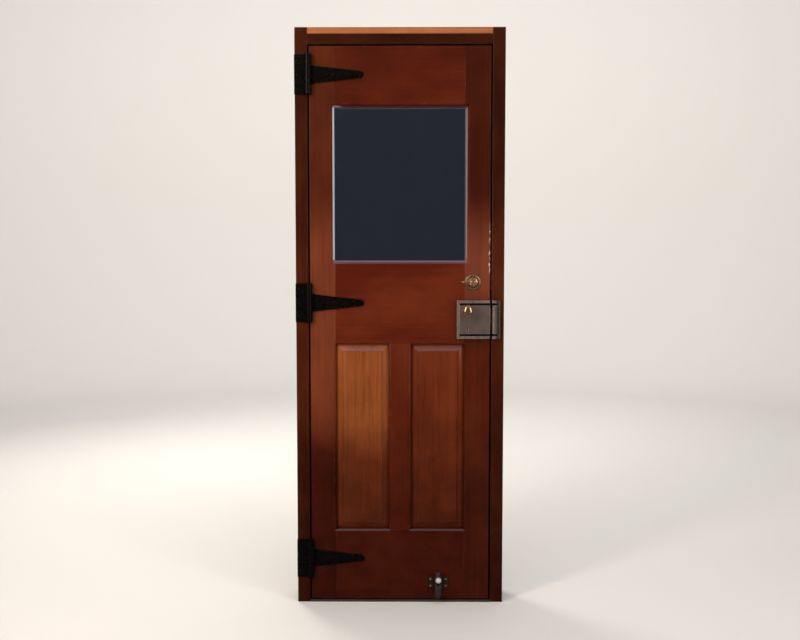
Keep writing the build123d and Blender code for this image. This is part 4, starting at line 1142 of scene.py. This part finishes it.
def finish_foot_bolt():
    """Finish the foot bolt, its plating mostly gone, with a bright ball knob and its plate's four screws"""
    sizes = bpy.context.scene.door_sizes
    iron, nickel = metal("foot_bolt_iron"), metal("foot_bolt_nickel")
    brown, dull = metal("foot_bolt_plate_brown"), metal("foot_bolt_screw_dull")
    for node, finish in (("foot_bolt_plate", brown), ("foot_bolt_barrel", iron)):
        eased_copy(node, sizes.metal_arris, finish, "nickel", "leaf", METAL_ANGLE)
    x, _, z = middle("foot_bolt_plate")
    face = span("foot_bolt_plate")[0][1]
    places = [(side, rise) for side in (-1, 1) for rise in (-1, 1)]
    centres = [(x + side * sizes.foot_screw_x, face, z + rise * sizes.foot_screw_z) for side, rise in places]
    turns = (0.2, 1.0, 1.9, 2.7)
    screws("foot_bolt_screws", centres, sizes.foot_screw, INSIDE, dull, "leaf", "nickel", turns)
    barrel_low, barrel_high = span("foot_bolt_barrel")
    low, high = span("foot_bolt_rod")
    axis_y = barrel_low[1] + (barrel_high[0] - barrel_low[0]) / 2
    rod = FOOT_ROD_R
    drop, top = barrel_high[2] - low[2], high[2] - barrel_high[2]
    profile = smoothed([
        (0.0, -drop), (rod - 0.0015, -drop), (rod, -drop + 0.0015), (rod, -drop + 0.0015), (rod, -0.001),
        (rod, 0.0), (rod, 0.0), (0.0086, 0.0), (0.0090, 0.0004), (0.0090, 0.0030), (0.0080, 0.0036),
        (0.0080, 0.0044), (0.0090, 0.0050), (0.0090, top - 0.0022), (0.0080, top), (0.0040, top), (0.0, top),
    ], rounds=2)
    seat = (x, axis_y, barrel_high[2])
    turned("foot_bolt_rod_turned", seat, UP, profile, iron, "nickel", ["foot_bolt_rod"])
    ball = (high[0] - low[0]) / 2
    centre = axis_y - low[1] - ball
    sweep = np.linspace(-0.42 * math.pi, math.pi / 2, 24)
    round_head = np.stack([ball * np.cos(sweep), centre + ball * np.sin(sweep)], axis=-1)
    stem = FOOT_STEM_R
    neck = [(0.0, rod * 0.6), (stem, rod * 0.6), (stem, rod), (stem, round_head[0, 1] - 0.0008)]
    seat = (x, axis_y, z + FOOT_KNOB_RISE)
    profile = np.concatenate([neck, round_head])
    turned("foot_bolt_knob", seat, INSIDE, profile, nickel, "nickel", ["foot_bolt_rod"], 50.0)


def finish_sill():
    """Finish the steel sill plate, scuffed where feet cross it"""
    dress("sill_plate", metal("sill_steel_scuffed"))


def area_light(name, place, aim, size, power, tint, mirrored):
    """A soft light that looks at a point; size is its width and height, and mirrored shows it in metal."""
    lamp = bpy.data.lights.new(name, "AREA")
    lamp.shape = "RECTANGLE"
    lamp.size, lamp.size_y = size
    lamp.energy = power
    lamp.color = tint
    made = bpy.data.objects.new(name, lamp)
    made.location = place
    made.rotation_euler = (Vector(aim) - Vector(place)).to_track_quat("-Z", "Y").to_euler()
    made.visible_camera = False
    made.visible_glossy = mirrored
    bpy.context.scene.collection.objects.link(made)


# Lights. Columns: name, place, the point it looks at, width and height, power in watts, tint, shown in metal.
DOOR_MIDDLE = (0.0, -0.02, 1.1)
LIGHTS = [
    ("key_light", (-2.0, -2.3, 2.3), DOOR_MIDDLE, (0.6, 2.4), 62.0, (1.0, 0.86, 0.70), True),
    ("sky_light", (0.2, -1.2, 3.2), DOOR_MIDDLE, (1.4, 1.0), 18.0, (0.78, 0.84, 1.0), False),
    ("fill_light", (2.4, -2.3, 1.9), DOOR_MIDDLE, (0.6, 2.4), 30.0, (1.0, 0.90, 0.82), True),
    ("back_light", (-1.9, 2.6, 2.7), DOOR_MIDDLE, (1.2, 1.6), 60.0, (1.0, 0.92, 0.82), True),
    ("wall_light", (0.0, 2.2, 4.6), (0.0, 7.5, 1.5), (3.0, 1.0), 170.0, (1.0, 0.97, 0.93), False),
    ("far_wall_light", (0.0, -4.2, 4.6), (0.0, -7.5, 1.5), (3.0, 1.0), 120.0, (1.0, 0.97, 0.93), False),
]

# The stage's own air: its colour, and its strength as seen, and in mirrors and glass.
AIR_TINT = (0.92, 0.94, 1.0, 1.0)
AIR_STRENGTHS = (0.45, 0.20)


def backdrop(name, material):
    """A round pale floor that curves up into a wall far from the door: a profile carried round the Z axis.

    The floor is flat to its radius, the bend is a quarter circle, and the wall stands on its end."""
    floor, bend, wall = 5.5, 2.0, 5.0
    lean = np.linspace(0, math.pi / 2, 17)
    flat = np.append(0.0, np.linspace(1.0, floor - 1.0, 6))
    radius = np.concatenate([flat, floor + bend * np.sin(lean), [floor + bend]])
    height = np.concatenate([np.zeros(flat.size), bend * (1 - np.cos(lean)), [bend + wall]])
    angle = np.linspace(0, 2 * math.pi, ROUND, endpoint=False)
    x, y = radius[:, None] * np.cos(angle), radius[:, None] * np.sin(angle)
    points = np.stack([x, y, np.broadcast_to(height[:, None], x.shape)], axis=-1)
    mesh = bpy.data.meshes.new(name)
    mesh.from_pydata(points.reshape(-1, 3), [], grid_faces(*x.shape, True))
    mesh.shade_smooth()
    made = bpy.data.objects.new(name, mesh)
    made.data.materials.append(material)
    bpy.context.scene.collection.objects.link(made)
    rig.stage(made)


def floor_finish(name):
    """The pale floor, faintly clouded, and dim in mirrors and glass."""
    floor = bpy.context.scene.door_colours.floor
    made, graph, shader, place = new_material(name)
    cloud = graph.noise(place, 1.0, scale=3.0, detail=4.0)
    surface = graph.lay(tinted(floor), cloud, 0.10, tinted(floor, 0.93))
    mirrored = graph.node("LightPath").outputs["Is Glossy Ray"]
    graph.feed(shader.inputs["Base Color"], graph.blend(mirrored, surface, tinted(floor, 0.05)))
    graph.feed(shader.inputs["Roughness"], graph.step(cloud, 0.2, 0.8, (0.6, 0.7)))
    return made


def set_stage():
    """Set the pale floor, the soft lights and the camera"""
    scene = bpy.context.scene
    stage = scene.door_stage
    backdrop("stage_floor", floor_finish("stage_floor"))
    for light in LIGHTS:
        area_light(*light)
    world = bpy.data.worlds.new("stage_air")
    world.use_nodes = True
    air = Graph(world.node_tree)
    ground = world.node_tree.nodes["Background"]
    ground.inputs["Color"].default_value = AIR_TINT
    mirrored = air.node("LightPath").outputs["Is Glossy Ray"]
    air.feed(ground.inputs["Strength"], air.step(mirrored, 0.0, 1.0, AIR_STRENGTHS))
    scene.world = world
    scene.view_settings.view_transform = "Standard"
    low, high = CAD_BOX
    face = span("rail_lock")[0][1]
    eye = Vector((stage.eye_right, face - stage.eye_distance, stage.eye_height))
    aim = Vector((0.0, face, (low.z + high.z) / 2))
    picture_height = (high.z - low.z) / stage.fill_share
    camera = bpy.data.cameras.new("stage_camera")
    camera.sensor_width = SENSOR_MM
    camera.lens = SENSOR_MM * (aim - eye).length / (picture_height * PICTURE_ASPECT)
    made = bpy.data.objects.new("stage_camera", camera)
    made.location = eye
    made.rotation_euler = (aim - eye).to_track_quat("-Z", "Y").to_euler()
    scene.collection.objects.link(made)
    scene.camera = made


def make_groups():
    """Build the node groups that the materials share"""
    long_grain_group()
    edge_wear_group()
    dirt_and_shade_group()
    patina_group()


def operator(name, label, work):
    """An operator that does one piece of the work."""

    def execute(self, context):
        work()
        return {"FINISHED"}

    members = {"bl_idname": f"door.{name}", "bl_label": label, "__doc__": work.__doc__, "execute": execute}
    return type(f"DOOR_OT_{name}", (bpy.types.Operator,), members)


OPERATORS = [
    operator("shared_effects", "Shared effects", make_groups),
    operator("leaf_boards", "Leaf boards", finish_leaf_boards),
    operator("frame_boards", "Frame boards", finish_frame_boards),
    operator("window", "Window", finish_window),
    operator("hinges", "Hinges", finish_hinges),
    operator("lock", "Lock", finish_lock),
    operator("knobs", "Knobs", finish_knobs),
    operator("deadbolt", "Deadbolt", finish_deadbolt),
    operator("foot_bolt", "Foot bolt", finish_foot_bolt),
    operator("sill", "Sill", finish_sill),
    operator("stage", "Stage", set_stage),
]
GROUPS = {"door_sizes": DoorSizes, "door_colours": DoorColours, "door_stage": DoorStage}


class DOOR_PT_panel(bpy.types.Panel):
    """Sizes, colours and steps of the door"""

    bl_label = "Door"
    bl_idname = "DOOR_PT_panel"
    bl_space_type = "VIEW_3D"
    bl_region_type = "UI"
    bl_category = "Door"

    def draw(self, context):
        for step in OPERATORS:
            self.layout.operator(step.bl_idname)
        for group, kind in GROUPS.items():
            for name in kind.__annotations__:
                self.layout.prop(getattr(context.scene, group), name)


def register():
    """Registers the properties, operators and panel."""
    for kind in (*GROUPS.values(), *OPERATORS, DOOR_PT_panel):
        bpy.utils.register_class(kind)
    for group, kind in GROUPS.items():
        setattr(bpy.types.Scene, group, PointerProperty(type=kind))


def unregister():
    """Takes them away again."""
    for group in GROUPS:
        delattr(bpy.types.Scene, group)
    for kind in (DOOR_PT_panel, *reversed(OPERATORS), *reversed(GROUPS.values())):
        bpy.utils.unregister_class(kind)


def main():
    """Registers the add-on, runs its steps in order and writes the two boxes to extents.json."""
    register()
    for step in OPERATORS:
        getattr(bpy.ops.door, step.bl_idname.split(".")[1])()
    boxes = {"cad": [list(corner) for corner in CAD_BOX], "visual": [list(corner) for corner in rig.bounds()]}
    with open("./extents.json", "w") as file:
        json.dump(boxes, file)


if __name__ == "__main__":
    main()
